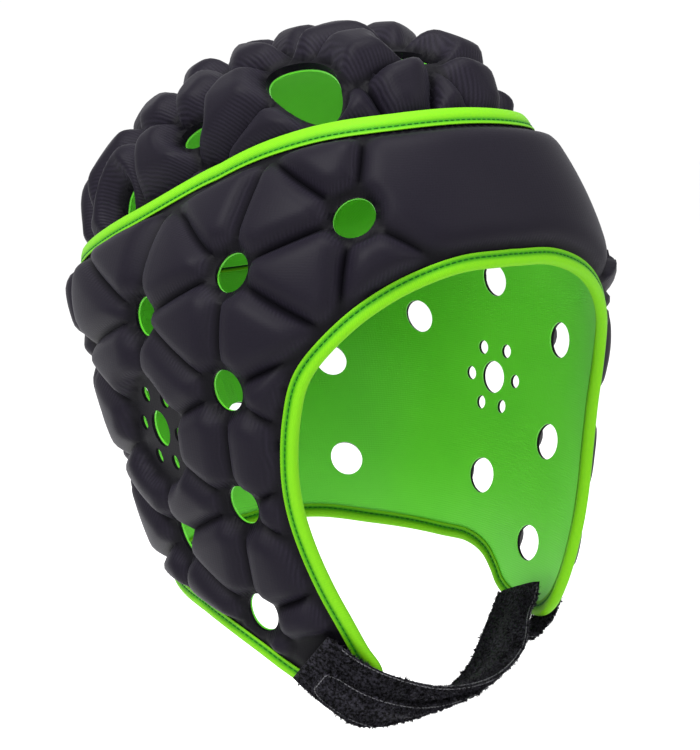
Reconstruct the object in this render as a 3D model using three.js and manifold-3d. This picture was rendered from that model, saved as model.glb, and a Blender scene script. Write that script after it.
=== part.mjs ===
// Padded head guard: a grooved foam band, a vented crown, bound edges and a chin strap.
// Millimetres, +Z up, the face looks along -Y and the wearer's left is +X.
import * as THREE from "three";
import Module from "manifold-3d";

const wasm = await Module();
wasm.setup();

// Head form: a row for each level, with its distance along the wall from the ear line
const LEVELS = [
  { along: -109, height: -108, halfWidth: 66, front: 77, back: 58, frontFull: -0.06, backFull: 0.06 },
  { along: -55, height: -54, halfWidth: 72, front: 84, back: 76, frontFull: 0.05, backFull: 0.08 },
  { along: 0, height: 0, halfWidth: 83.5, front: 91.5, back: 102.5, frontFull: 0.05, backFull: 0.1 },
  { along: 52, height: 51.5, halfWidth: 85.5, front: 89, back: 128.5, frontFull: 0.04, backFull: 0.12 },
  { along: 101, height: 95.5, halfWidth: 62, front: 75.5, back: 115, frontFull: 0.06, backFull: 0.12 },
  { along: 141, height: 126, halfWidth: 36, front: 46, back: 67, frontFull: 0.06, backFull: 0.1 },
  { along: 176, height: 137, halfWidth: 0, front: 0, back: 0, frontFull: 0.06, backFull: 0.1 },
];

// Edges of the band: turn from the face in degrees, distance along the wall
const TOP_EDGE = [
  { turn: 0, along: 124 },
  { turn: 30, along: 122 },
  { turn: 60, along: 116 },
  { turn: 90, along: 101 },
  { turn: 110, along: 79 },
  { turn: 130, along: 60 },
  { turn: 155, along: 49 },
  { turn: 180, along: 46 },
];
const LOWER_EDGE = [
  { turn: 0, along: 65 },
  { turn: 14, along: 64 },
  { turn: 26, along: 58.5 },
  { turn: 35.5, along: 50 },
  { turn: 44, along: 38 },
  { turn: 49.5, along: 27 },
  { turn: 52.5, along: 13 },
  { turn: 54, along: -2 },
  { turn: 54, along: -18 },
  { turn: 52, along: -34 },
  { turn: 48.5, along: -49 },
  { turn: 44.5, along: -61 },
  { turn: 40.5, along: -72 },
  { turn: 36.5, along: -81 },
  { turn: 38, along: -89.5 },
  { turn: 45, along: -93.5 },
  { turn: 54, along: -90 },
  { turn: 63, along: -84 },
  { turn: 72, along: -78 },
  { turn: 82, along: -73.5 },
  { turn: 93, along: -70.5 },
  { turn: 107, along: -69 },
  { turn: 130, along: -67 },
  { turn: 155, along: -64 },
  { turn: 180, along: -62 },
];
// The left cheek hangs back from the face, so its edge has rows of its own below the ear
const LEFT_EDGE = [
  ...LOWER_EDGE.slice(0, 8),
  { turn: 54.5, along: -18 },
  { turn: 53.5, along: -34 },
  { turn: 52.5, along: -48 },
  { turn: 52, along: -60 },
  { turn: 53, along: -71 },
  { turn: 56, along: -80 },
  { turn: 62, along: -86 },
  { turn: 69, along: -87.5 },
  { turn: 76, along: -85 },
  { turn: 82, along: -80.5 },
  { turn: 87, along: -75.5 },
  { turn: 93, along: -71.5 },
  { turn: 102, along: -69.5 },
  { turn: 116, along: -69.5 },
  { turn: 140, along: -67.5 },
  { turn: 160, along: -63.5 },
  { turn: 180, along: -62 },
];
const CHEEK_TIPS = [
  { turn: -48, along: -83, clear: 24 },
  { turn: 67, along: -82, clear: 20 },
];

// Pad lattice: columns count forward from the ear, rows count up from it
const ROW_PITCH = 41.75;
const FRONT_COLUMN = 3.5;
const BACK_COLUMN = -3;
const ROW_LOW = -2.5;
const ROW_HIGH = 3.5;
const PAD_DIVISIONS = 4;
const LINING_DIVISIONS = 2;
// Turns of the columns on the left, where they draw in to the ear
const LEFT_COLUMNS = [
  { column: -3, turn: 180 },
  { column: -2, turn: 147 },
  { column: -1, turn: 121 },
  { column: 0, turn: 99 },
  { column: 1, turn: 75 },
  { column: 2, turn: 55 },
  { column: 3.5, turn: 0 },
];
const COLUMN_REACH = 42;
const DIAGONAL_REACH = 37.4;

// Wall and pad sizes
const WALL = 2.6;
const LINING = 1;
const GAP = 0.3;
const PAD_RISE = 6.8;
const PAD_SHOULDER = 9;
const GROOVE_HALF = 2.5;
const EDGE_MARGIN = 5;

// Round vents at lattice points, and the ear disc with its ring of small ones
const VENT_RADIUS = 7.3;
const VENT_MARGIN = 3.5;
const VENT_SIDES = 8;
const VENTS = [
  { column: 2, row: 2 },
  { column: 1, row: 1.5 },
  { column: 0, row: 1 },
  { column: 1, row: 0.5 },
  { column: 1, row: -0.5 },
  { column: 1, row: -1.5 },
  { column: 0, row: -1 },
  { column: -1, row: 0.5 },
  { column: -2, row: 0 },
  { column: -2, row: -1 },
  { column: -3, row: 0.5 },
  { column: -3, row: -0.5 },
];
const EAR_DISC = { radius: 20, centreVent: 6.8, ringVent: 2.9, ringRadius: 13.5, ringCount: 6 };

// Crown pads and openings: side and back distances in plan from the ear axis
const CROWN_PADS = [
  { side: 0, back: -62 },
  { side: 19, back: -55 },
  { side: 36, back: -51 },
  { side: 21, back: -22 },
  { side: 10, back: -3 },
  { side: 59, back: -14 },
  { side: 73, back: 8 },
  { side: 47, back: 13 },
  { side: 12, back: 24 },
  { side: 29, back: 27 },
  { side: 44, back: 37 },
  { side: 60, back: 48 },
  { side: 77, back: 38 },
  { side: 13, back: 55 },
  { side: 30, back: 59 },
  { side: 46, back: 63 },
  { side: 62, back: 68 },
  { side: 80, back: 84 },
  { side: 15, back: 88 },
  { side: 34, back: 90 },
  { side: 52, back: 87 },
  { side: 68, back: 98 },
  { side: 18, back: 117 },
  { side: 46, back: 113 },
];
const CROWN_OPENINGS = [
  { side: 0, back: -31, halfLength: 11, halfWidth: 8, swing: 90 },
  { side: 39, back: -19, halfLength: 27, halfWidth: 9, swing: -15 },
  { side: 57, back: 29, halfLength: 10, halfWidth: 6.5, swing: 25 },
  { side: 70, back: 66, halfLength: 10, halfWidth: 6, swing: 78 },
];
const CROWN_CENTRE = { back: 22, drop: 100 };
const CROWN_MESH = 12;
const CROWN_INNER_MESH = 32;
const CROWN_REACH = 144;
const CROWN_WALL = 2.5;
const CROWN_RISE = 9.5;
const CROWN_SHOULDER = 9;
const CROWN_TUCK = 8.9;
const CROWN_EASE = 24;
const CROWN_EDGE_MARGIN = 8;
const SEAM_ALLOWANCE = 7;
const OPENING_MARGIN = 3;
const OPENING_SIDES = 10;

// Binding: a folded tape, its section as out from the edge and away from the head
const FLANGE = 6.5;
const TAPE = 1;
const OVER = 0.7;
const UNDER = WALL + GAP + LINING + 2.5;
const NOSE = 2.2;
const BINDING_SECTION = [
  { out: -FLANGE, lift: OVER },
  { out: GAP, lift: OVER },
  { out: GAP, lift: -UNDER },
  { out: -FLANGE, lift: -UNDER },
  { out: -FLANGE, lift: -UNDER - TAPE },
  { out: GAP, lift: -UNDER - TAPE },
  { out: NOSE, lift: (OVER - UNDER) / 2 },
  { out: GAP, lift: OVER + TAPE },
  { out: -FLANGE, lift: OVER + TAPE },
];
const TOP_STEPS = 48;
const LOWER_STEPS = 36;
const TRIM_SHORT = 2.2;

// Chin strap: stations on the cheeks, and hung free below them with the way the outer face looks
const STRAP_THICK = 2.2;
const OVER_CHEEK = OVER + TAPE + GAP + STRAP_THICK / 2;
const UNDER_CHEEK = -UNDER - TAPE - GAP - STRAP_THICK / 2 - 1.4;
const LOOP_WIDTH = 23;
const LOOP_STATIONS = [
  { turn: -54, along: -74, lift: OVER_CHEEK },
  { turn: -46, along: -82.5, lift: OVER_CHEEK + 0.8 },
  { turn: -37.5, along: -88, lift: OVER_CHEEK + 1.6 },
  { x: -23, y: -67.5, z: -92, lookX: -0.16, lookY: -0.6, lookZ: -0.78 },
  { x: 0, y: -63.5, z: -93.5, lookX: 0, lookY: -0.46, lookZ: -0.89 },
  { x: 21, y: -54.5, z: -90.5, lookX: 0.24, lookY: -0.38, lookZ: -0.9 },
  { x: 36, y: -42.5, z: -85.5, lookX: 0.5, lookY: -0.36, lookZ: -0.78 },
  { turn: 68, along: -83.5, lift: UNDER_CHEEK - 3.5, swing: 20 },
  { turn: 70, along: -76.5, lift: UNDER_CHEEK - 3, swing: 20 },
];
const HOOK_WIDTH = 13;
const HOOK_LAP = [
  { share: 0.05, out: STRAP_THICK + 0.7, slide: -2.5 },
  { share: 0.1, out: STRAP_THICK + 0.7, slide: -2.5 },
  { share: 0.16, out: STRAP_THICK + 0.7, slide: -2.5 },
  { share: 0.22, out: STRAP_THICK + 0.7, slide: -2.5 },
  { share: 0.3, out: STRAP_THICK + 0.7, slide: -3.5 },
  { share: 0.4, out: STRAP_THICK + 0.7, slide: -4 },
  { share: 0.5, out: STRAP_THICK + 0.8, slide: -3 },
  { share: 0.6, out: STRAP_THICK + 0.8, slide: -2 },
  { share: 0.7, out: STRAP_THICK + 0.9, slide: -0.5 },
  { share: 0.77, out: STRAP_THICK + 1.1, slide: 0.5 },
];
const HOOK_CHEEK = [
  { x: 53, y: -36.5, z: -93, lookX: 0.45, lookY: -0.15, lookZ: -0.88 },
  { turn: 66, along: -84, lift: OVER_CHEEK + 0.8 },
  { turn: 68, along: -76.5, lift: OVER_CHEEK },
];
const STRAP_STEPS = 30;
const END_ROUND = 7;

const CLOTH_BLACK = { color: 0x2a2830, roughness: 0.82, metalness: 0 };
const LINING_GREEN = { color: 0x4fb02c, roughness: 0.62, metalness: 0 };
const TAPE_LIME = { color: 0x86e31c, roughness: 0.55, metalness: 0 };
const PILE_BLACK = { color: 0x1c1b1f, roughness: 0.95, metalness: 0 };

const radians = THREE.MathUtils.degToRad;
const smooth = (x) => THREE.MathUtils.smoothstep(x, 0, 1);

// Smooth curve through a table's rows; end slopes are level where asked for
function through(rows, from, to, x, level) {
  const last = rows.length - 1;
  let i = 0;
  while (i < last - 1 && x > rows[i + 1][from]) i += 1;
  const slope = (k) => {
    if ((k === 0 && level.first) || (k === last && level.last)) return 0;
    const a = rows[Math.max(k - 1, 0)];
    const b = rows[Math.min(k + 1, last)];
    return (b[to] - a[to]) / (b[from] - a[from]);
  };
  const span = rows[i + 1][from] - rows[i][from];
  const s = THREE.MathUtils.clamp((x - rows[i][from]) / span, 0, 1);
  const p0 = rows[i][to];
  const p1 = rows[i + 1][to];
  const m0 = slope(i) * span;
  const m1 = slope(i + 1) * span;
  return (
    p0 * (1 + 2 * s) * (1 - s) ** 2 + m0 * s * (1 - s) ** 2 + p1 * s * s * (3 - 2 * s) + m1 * s * s * (s - 1)
  );
}

const level = (along, key) => through(LEVELS, "along", key, along, { last: key === "height" });
const topAlong = (turn) => through(TOP_EDGE, "turn", "along", Math.abs(turn), { first: true, last: true });

// Fullness of the head form between its axes
function fullness(along, ahead, a) {
  return 1 + level(along, ahead ? "frontFull" : "backFull") * Math.sin(2 * a) ** 2;
}

// Point of the head form at a turn from the face and a distance along the wall
function wall(turn, along) {
  const a = radians(Math.abs(turn));
  const ahead = Math.abs(turn) < 90;
  const full = fullness(along, ahead, a);
  const x = full * level(along, "halfWidth") * Math.sin(a) * Math.sign(turn);
  const y = -full * level(along, ahead ? "front" : "back") * Math.cos(a);
  return new THREE.Vector3(x, y, level(along, "height"));
}

function wallNormal(turn, along) {
  const step = 0.5;
  const across = wall(turn + step, along).sub(wall(turn - step, along));
  const up = wall(turn, along + step).sub(wall(turn, along - step));
  return across.cross(up).normalize();
}

const lifted = (turn, along, lift) => wall(turn, along).addScaledVector(wallNormal(turn, along), lift);
const UP = new THREE.Vector3(0, 0, 1);
const columnTurn = (column, hand) =>
  hand > 0
    ? through(LEFT_COLUMNS, "column", "turn", column, {})
    : (-180 * (FRONT_COLUMN - column)) / (FRONT_COLUMN - BACK_COLUMN);

// Vents on both sides, with those of the back column once and the ear's central one ringed
const vents = [...VENTS, { column: 0, row: 0, ringed: true }].flatMap((vent) => {
  const radius = vent.ringed ? EAR_DISC.centreVent : VENT_RADIUS;
  const clear = vent.ringed ? EAR_DISC.radius : VENT_RADIUS + VENT_MARGIN;
  const hands = vent.column === BACK_COLUMN ? [1] : [1, -1];
  return hands.map((hand) => ({ ...vent, turn: columnTurn(vent.column, hand), radius, clear }));
});

// Height of the head form turned back into a distance along the wall
function alongAt(height) {
  let low = LEVELS[0].along;
  let high = LEVELS[LEVELS.length - 1].along;
  for (let i = 0; i < 40; i += 1) {
    const mid = (low + high) / 2;
    if (level(mid, "height") < height) low = mid;
    else high = mid;
  }
  return (low + high) / 2;
}

function isWithin(point) {
  if (point.z >= LEVELS[LEVELS.length - 1].height) return false;
  const along = alongAt(point.z);
  const ahead = point.y < 0;
  const x = Math.abs(point.x) / level(along, "halfWidth");
  const y = Math.abs(point.y) / level(along, ahead ? "front" : "back");
  const a = Math.atan2(x, y);
  return Math.hypot(x, y) < fullness(along, ahead, a);
}

// Crown point met by a ray from inside the head, given in flat distances from the crown's centre
const CROWN_TOP = LEVELS[LEVELS.length - 1].height;
const CROWN_EYE = new THREE.Vector3(0, CROWN_CENTRE.back, CROWN_TOP - CROWN_CENTRE.drop);
function crownPoint(side, back) {
  const reach = Math.hypot(side, back);
  const angle = reach / CROWN_CENTRE.drop;
  const flat = reach > 1e-9 ? Math.sin(angle) / reach : 0;
  const ray = new THREE.Vector3(side * flat, back * flat, Math.cos(angle));
  let low = 0;
  let high = 260;
  for (let i = 0; i < 40; i += 1) {
    const mid = (low + high) / 2;
    if (isWithin(CROWN_EYE.clone().addScaledVector(ray, mid))) low = mid;
    else high = mid;
  }
  return CROWN_EYE.clone().addScaledVector(ray, low);
}

function crownNormal(side, back) {
  const step = 0.5;
  const across = crownPoint(side + step, back).sub(crownPoint(side - step, back));
  const along = crownPoint(side, back + step).sub(crownPoint(side, back - step));
  return across.cross(along).normalize();
}

// Crown point above a place in plan
function crownAbove(side, back) {
  let low = 0;
  let high = LEVELS[LEVELS.length - 1].height;
  for (let i = 0; i < 40; i += 1) {
    const mid = (low + high) / 2;
    if (isWithin(new THREE.Vector3(side, back, mid))) low = mid;
    else high = mid;
  }
  return new THREE.Vector3(side, back, low);
}

function outwardAt(point) {
  const ray = point.clone().sub(CROWN_EYE).normalize();
  const angle = Math.acos(ray.z) * CROWN_CENTRE.drop;
  const flat = Math.hypot(ray.x, ray.y) || 1;
  return crownNormal((ray.x / flat) * angle, (ray.y / flat) * angle);
}

// Closed solid from points and triangles, turned to face out
function solid(points, triangles) {
  let volume = 0;
  for (const [a, b, c] of triangles) volume += points[a].dot(points[b].clone().cross(points[c]));
  const vertProperties = new Float32Array(points.flatMap((p) => [p.x, p.y, p.z]));
  const triVerts = new Uint32Array(triangles.flatMap(([a, b, c]) => (volume < 0 ? [a, c, b] : [a, b, c])));
  return new wasm.Manifold(new wasm.Mesh({ numProp: 3, vertProperties, triVerts }));
}

// Band that joins two closed rims with different numbers of points
function zip(outer, inner) {
  const triangles = [];
  let i = 0;
  let j = 0;
  while (i < outer.length || j < inner.length) {
    const a = outer[i % outer.length];
    const b = inner[j % inner.length];
    if (j >= inner.length || (i < outer.length && (i + 1) * inner.length <= (j + 1) * outer.length)) {
      triangles.push([a, outer[(i + 1) % outer.length], b]);
      i += 1;
    } else {
      triangles.push([a, inner[(j + 1) % inner.length], b]);
      j += 1;
    }
  }
  return triangles;
}

// Skin of the band: staggered columns of points that follow the pad lattice round the head,
// with a ring of points in place of the lattice point at each vent
function bandSkin(divisions, lift) {
  const count = 2 * divisions * (FRONT_COLUMN - BACK_COLUMN);
  const rows = divisions * (ROW_HIGH - ROW_LOW);
  const isWhole = (i) => (i - FRONT_COLUMN * divisions) % 2 === 0;
  const points = [];
  const start = [];
  for (let i = 0; i < count; i += 1) {
    const column = FRONT_COLUMN - Math.min(i, count - i) / divisions;
    const turn = columnTurn(column, i <= count / 2 ? 1 : -1);
    const shift = isWhole(i) ? 0 : 0.5;
    start.push(points.length);
    for (let k = 0; k <= rows - 2 * shift; k += 1) {
      const row = ROW_LOW + (k + shift) / divisions;
      points.push(lifted(turn, row * ROW_PITCH, lift(turn, column, row)));
    }
  }
  const triangles = [];
  const rims = { low: [], high: [] };
  const pierced = new Set();
  vents.forEach(({ turn, column, row, radius }, v) => {
    const steps = Math.round((FRONT_COLUMN - column) * divisions);
    const i = turn > 0 ? steps : count - steps;
    const k = Math.round((row - ROW_LOW) * divisions);
    const [left, right] = [start[i - 1], start[(i + 1) % count]];
    const ring = [start[i] + k + 1, left + k, left + k - 1, start[i] + k - 1, right + k - 1, right + k];
    const places = ventRing(turn, row * ROW_PITCH, radius, lift(turn, column, row));
    const hole = places.map((p) => points.push(p) - 1);
    pierced.add(start[i] + k);
    triangles.push(...zip(ring, hole));
    rims[`vent${v}`] = hole;
  });
  const face = (turned, corners) => {
    if (corners.every((k) => !pierced.has(k))) triangles.push(turned ? corners : [...corners].reverse());
  };
  for (let i = 0; i < count; i += 1) {
    const next = (i + 1) % count;
    const [whole, staggered] = isWhole(i) ? [start[i], start[next]] : [start[next], start[i]];
    for (let k = 0; k < rows; k += 1) {
      face(isWhole(i), [whole + k, staggered + k, whole + k + 1]);
      if (k < rows - 1) face(isWhole(i), [staggered + k, staggered + k + 1, whole + k + 1]);
    }
    rims.low.push(start[i]);
    rims.high.push(start[i] + (isWhole(i) ? rows : rows - 1));
  }
  return { points, triangles, rims };
}

// Ring of points round a vent, square to the wall
function ventRing(turn, along, radius, lift) {
  const normal = wallNormal(turn, along);
  const across = UP.clone().cross(normal).normalize();
  const rise = normal.clone().cross(across);
  return Array.from({ length: VENT_SIDES }, (_, i) => {
    const a = Math.PI / 2 + (2 * Math.PI * i) / VENT_SIDES;
    return lifted(turn, along, lift)
      .addScaledVector(across, radius * Math.cos(a))
      .addScaledVector(rise, radius * Math.sin(a));
  });
}

// Shell between an outer and an inner skin
function shell(outer, inner) {
  const offset = outer.points.length;
  const moved = (list) => list.map((k) => k + offset);
  const triangles = [...outer.triangles, ...inner.triangles.map(([a, b, c]) => moved([a, c, b]))];
  for (const rim of Object.keys(outer.rims)) {
    const wallStrip = zip(outer.rims[rim], moved(inner.rims[rim]));
    triangles.push(...(rim === "low" ? wallStrip.map(([a, b, c]) => [a, c, b]) : wallStrip));
  }
  return solid([...outer.points, ...inner.points], triangles);
}

// Edge loops of the band, as turn and distance along the wall
function lowerHalf(rows, steps) {
  const places = rows.map((row) => new THREE.Vector3(row.turn, row.along, 0));
  const curve = new THREE.CatmullRomCurve3(places, false, "centripetal");
  return curve.getSpacedPoints(steps).map((p) => ({ turn: p.x, along: p.y }));
}
const mirrored = (list) => list.map(({ turn, along }) => ({ turn: -turn, along })).reverse();
function topLoop(steps, drop) {
  return Array.from({ length: steps }, (_, i) => {
    const turn = -180 + (360 * i) / steps;
    return { turn, along: topAlong(turn) - drop };
  });
}
const lowerRound = (steps) => [
  ...mirrored(lowerHalf(LOWER_EDGE, steps)).slice(0, -1),
  ...lowerHalf(LEFT_EDGE, steps).slice(0, -1),
];
const edgePoints = [...topLoop(180, 0), ...lowerRound(120)].map((p) => wall(p.turn, p.along));
const topPoints = topLoop(180, 0).map((p) => wall(p.turn, p.along));
const nearest = (points, p) =>
  Math.sqrt(points.reduce((best, q) => Math.min(best, p.distanceToSquared(q)), 1e9));

// Cone from inside the head through an edge loop, closed far outside
function cone(loop, eye, toward) {
  const far = 420;
  const rim = loop.map((p) => p.clone().sub(eye).setLength(far).add(eye));
  const points = [eye, toward.clone().setLength(far).add(eye), ...rim];
  const triangles = [];
  rim.forEach((_, i) => {
    const a = 2 + i;
    const b = 2 + ((i + 1) % rim.length);
    triangles.push([0, a, b], [1, b, a]);
  });
  return solid(points, triangles);
}

// Pad height over the band's grooves, level wherever a facet would reach under the tape
const clearings = [
  ...vents.map((v) => ({ centre: wall(v.turn, v.row * ROW_PITCH), radius: v.clear })),
  ...CHEEK_TIPS.map((tip) => ({ centre: wall(tip.turn, tip.along), radius: tip.clear })),
];
const offLine = (x) => Math.abs(x - Math.round(x));
const toEdge = (column, row, hand) => nearest(edgePoints, wall(columnTurn(column, hand), row * ROW_PITCH));
const NEIGHBOURS = [[0, 1], [0, -1], [1, 0.5], [1, -0.5], [-1, 0.5], [-1, -0.5]];
function padHeight(turn, column, row) {
  const hand = turn < 0 ? -1 : 1;
  const ahead = column - 2;
  const above = row + column / 2 - 3;
  const onBrow = ahead > -1e-6 && above > -1e-6;
  const groove = onBrow
    ? Math.min(ahead * COLUMN_REACH, above * DIAGONAL_REACH)
    : Math.min(
        offLine(column) * COLUMN_REACH,
        offLine(row + column / 2) * DIAGONAL_REACH,
        offLine(row - column / 2) * DIAGONAL_REACH,
      );
  const step = 1 / PAD_DIVISIONS;
  const around = NEIGHBOURS.map(([c, r]) => toEdge(column + c * step, row + r * step, hand));
  if (Math.min(...around) < FLANGE + 4 * GAP) return 0;
  const point = wall(turn, row * ROW_PITCH);
  const clear = Math.min(...clearings.map(({ centre, radius }) => point.distanceTo(centre) - radius));
  const inset = Math.min(groove - GROOVE_HALF, toEdge(column, row, hand) - EDGE_MARGIN, clear);
  return PAD_RISE * Math.sqrt(smooth(inset / PAD_SHOULDER));
}

// Prism for a vent, set square to the wall
function prism(centre, normal, up, halfLength, halfWidth, sides, depth) {
  const along = up.clone().addScaledVector(normal, -up.dot(normal)).normalize();
  const across = normal.clone().cross(along);
  const points = [];
  for (const lift of [-depth, depth]) {
    for (let i = 0; i < sides; i += 1) {
      const a = (2 * Math.PI * i) / sides;
      points.push(
        centre
          .clone()
          .addScaledVector(along, halfLength * Math.cos(a))
          .addScaledVector(across, halfWidth * Math.sin(a))
          .addScaledVector(normal, lift),
      );
    }
  }
  const triangles = [];
  for (let i = 0; i < sides; i += 1) {
    const j = (i + 1) % sides;
    triangles.push([i, j, sides + i], [j, sides + j, sides + i]);
    if (i > 1) triangles.push([0, i, i - 1], [sides, sides + i - 1, sides + i]);
  }
  return solid(points, triangles);
}

function earDrills() {
  return vents.filter((v) => v.ringed).flatMap(({ turn, row }) => {
    const normal = wallNormal(turn, row * ROW_PITCH);
    const across = UP.clone().cross(normal).normalize();
    return Array.from({ length: EAR_DISC.ringCount }, (_, i) => {
      const a = (2 * Math.PI * i) / EAR_DISC.ringCount;
      const spot = wall(turn, row * ROW_PITCH)
        .addScaledVector(across, EAR_DISC.ringRadius * Math.cos(a))
        .addScaledVector(UP, EAR_DISC.ringRadius * Math.sin(a));
      return prism(spot, normal, UP, EAR_DISC.ringVent, EAR_DISC.ringVent, 5, 16);
    });
  });
}

const TOP_EYE = new THREE.Vector3(0, 15, 0);
const TOP_TOWARD = new THREE.Vector3(0, 0.25, 1);
const LOWER_EYE = new THREE.Vector3(0, 0, 0);
const LOWER_TOWARD = new THREE.Vector3(0, -0.6, -0.8);

const plainSkin = (lift) => bandSkin(LINING_DIVISIONS, () => lift);
const wholeShell = shell(bandSkin(PAD_DIVISIONS, padHeight), plainSkin(-WALL));
const wholeLining = shell(plainSkin(-WALL - GAP), plainSkin(-WALL - GAP - LINING));

// Skin of the crown: a hexagonal patch of evenly spaced points about its centre
function crownSkin(mesh, place) {
  const rings = Math.ceil(CROWN_REACH / (mesh * Math.cos(Math.PI / 6)));
  const index = new Map();
  const points = [];
  for (let a = -rings; a <= rings; a += 1) {
    for (let b = Math.max(-rings, a - rings); b <= Math.min(rings, a + rings); b += 1) {
      index.set(`${a},${b}`, points.length);
      points.push(place(mesh * a * Math.cos(Math.PI / 6), mesh * (b - a / 2)));
    }
  }
  const at = (a, b) => index.get(`${a},${b}`);
  const triangles = [];
  for (const key of index.keys()) {
    const [a, b] = key.split(",").map(Number);
    for (const corners of [
      [at(a, b), at(a + 1, b), at(a + 1, b + 1)],
      [at(a, b), at(a + 1, b + 1), at(a, b + 1)],
    ]) {
      if (corners.every((k) => k !== undefined)) triangles.push(corners);
    }
  }
  const rim = [];
  let [a, b] = [rings, 0];
  for (const [da, db] of [[0, 1], [-1, 0], [-1, -1], [0, -1], [1, 0], [1, 1]]) {
    for (let i = 0; i < rings; i += 1) {
      rim.push(at(a, b));
      a += da;
      b += db;
    }
  }
  return { points, triangles, rims: { low: rim } };
}

// Crown pads: each is the ground nearest to its own centre, less the grooves, rim and openings
const bothSides = (rows) =>
  rows.flatMap((row) => (row.side === 0 ? [1] : [1, -1]).map((hand) => ({ ...row, hand })));
const crownCentres = bothSides(CROWN_PADS).map(({ side, back, hand }) => crownAbove(side * hand, back));
const openings = bothSides(CROWN_OPENINGS).map((row) => {
  const centre = crownAbove(row.side * row.hand, row.back);
  const normal = outwardAt(centre);
  const swing = radians(row.swing) * row.hand;
  const heading = new THREE.Vector3(Math.sin(swing), Math.cos(swing), 0);
  const along = heading.addScaledVector(normal, -heading.dot(normal)).normalize();
  return { ...row, centre, normal, along, across: normal.clone().cross(along) };
});
function offOpening(point, { centre, along, across, halfLength, halfWidth }) {
  const d = point.clone().sub(centre);
  const reach = Math.hypot(d.dot(along) / halfLength, d.dot(across) / halfWidth);
  const spread = Math.hypot(d.dot(along) / halfLength ** 2, d.dot(across) / halfWidth ** 2);
  return reach < 0.2 ? -halfWidth : (reach * (reach - 1)) / spread;
}
function crownHeight(point) {
  const ranked = crownCentres
    .map((centre) => ({ centre, far: point.distanceToSquared(centre) }))
    .sort((p, q) => p.far - q.far);
  const own = ranked[0];
  const groove = Math.min(
    ...ranked.slice(1, 8).map(({ centre, far }) => (far - own.far) / (2 * centre.distanceTo(own.centre))),
  );
  const clear = Math.min(...openings.map((row) => offOpening(point, row))) - OPENING_MARGIN;
  const inset = Math.min(groove - GROOVE_HALF, crownRise(point) - CROWN_EDGE_MARGIN, clear);
  return CROWN_RISE * Math.sqrt(smooth(inset / CROWN_SHOULDER));
}

// Distance inside the crown's seam, and the tuck that takes the seam under the band
function crownRise(point) {
  const turn = THREE.MathUtils.radToDeg(Math.atan2(Math.abs(point.x), -point.y));
  const far = nearest(topPoints, point);
  return alongAt(point.z) > topAlong(planTurn(point, turn)) ? far : -far;
}
function planTurn(point, guess) {
  const along = alongAt(point.z);
  const reach = level(along, point.y < 0 ? "front" : "back");
  const width = level(along, "halfWidth");
  return reach > 1e-6 && width > 1e-6
    ? THREE.MathUtils.radToDeg(Math.atan2(Math.abs(point.x) / width, -point.y / reach))
    : guess;
}
const tuck = (point) => -CROWN_TUCK * (1 - smooth((crownRise(point) - 3) / CROWN_EASE));
const crownLift = (extra) => (side, back) => {
  const point = crownPoint(side, back);
  return point.clone().addScaledVector(crownNormal(side, back), tuck(point) + extra(point));
};
const crownPlain = (mesh, lift) => crownSkin(mesh, crownLift(() => lift));
const seamLoop = topLoop(TOP_STEPS, SEAM_ALLOWANCE).map((p) => wall(p.turn, p.along));
const withinSeam = cone(seamLoop, TOP_EYE, TOP_TOWARD);
const openingDrills = openings.map((row) =>
  prism(row.centre, row.normal, row.along, row.halfLength, row.halfWidth, OPENING_SIDES, 24),
);
const cutCrown = (body) => wasm.Manifold.difference([body.intersect(withinSeam), ...openingDrills]);
const crownShell = cutCrown(
  shell(crownSkin(CROWN_MESH, crownLift(crownHeight)), crownPlain(CROWN_INNER_MESH, -CROWN_WALL)),
);
const crownLining = cutCrown(
  shell(
    crownPlain(CROWN_INNER_MESH, -CROWN_WALL - GAP),
    crownPlain(CROWN_INNER_MESH, -CROWN_WALL - GAP - LINING),
  ),
);

// Sweep of a flat section along a run of frames, closed on itself or capped
function sweep(frames, outline, closed) {
  const points = frames.flatMap((frame) =>
    outline(frame).map(({ out, lift }) =>
      frame.centre.clone().addScaledVector(frame.across, out).addScaledVector(frame.normal, lift),
    ),
  );
  const size = points.length / frames.length;
  const triangles = [];
  const spans = closed ? frames.length : frames.length - 1;
  for (let i = 0; i < spans; i += 1) {
    const a = i * size;
    const b = ((i + 1) % frames.length) * size;
    for (let k = 0; k < size; k += 1) {
      const n = (k + 1) % size;
      triangles.push([a + k, b + k, a + n], [a + n, b + k, b + n]);
    }
  }
  if (!closed) {
    const flat = outline(frames[0]).map(({ out, lift }) => new THREE.Vector2(out, lift));
    const caps = THREE.ShapeUtils.triangulateShape(flat, []);
    const agrees = THREE.ShapeUtils.area(caps[0].map((k) => flat[k])) * THREE.ShapeUtils.area(flat) > 0;
    const last = (frames.length - 1) * size;
    for (const [a, b, c] of agrees ? caps : caps.map(([p, q, r]) => [p, r, q])) {
      triangles.push([a, b, c], [last + a, last + c, last + b]);
    }
  }
  return solid(points, triangles);
}

function edgeFrames(loop, closed, outward) {
  const centres = loop.map((p) => wall(p.turn, p.along));
  return loop.map((p, i) => {
    const before = closed ? (i + loop.length - 1) % loop.length : Math.max(i - 1, 0);
    const after = closed ? (i + 1) % loop.length : Math.min(i + 1, loop.length - 1);
    const run = centres[after].clone().sub(centres[before]).normalize();
    const normal = wallNormal(p.turn, p.along);
    const across = run.cross(normal).normalize().multiplyScalar(outward);
    return { centre: centres[i], normal, across };
  });
}

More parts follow.
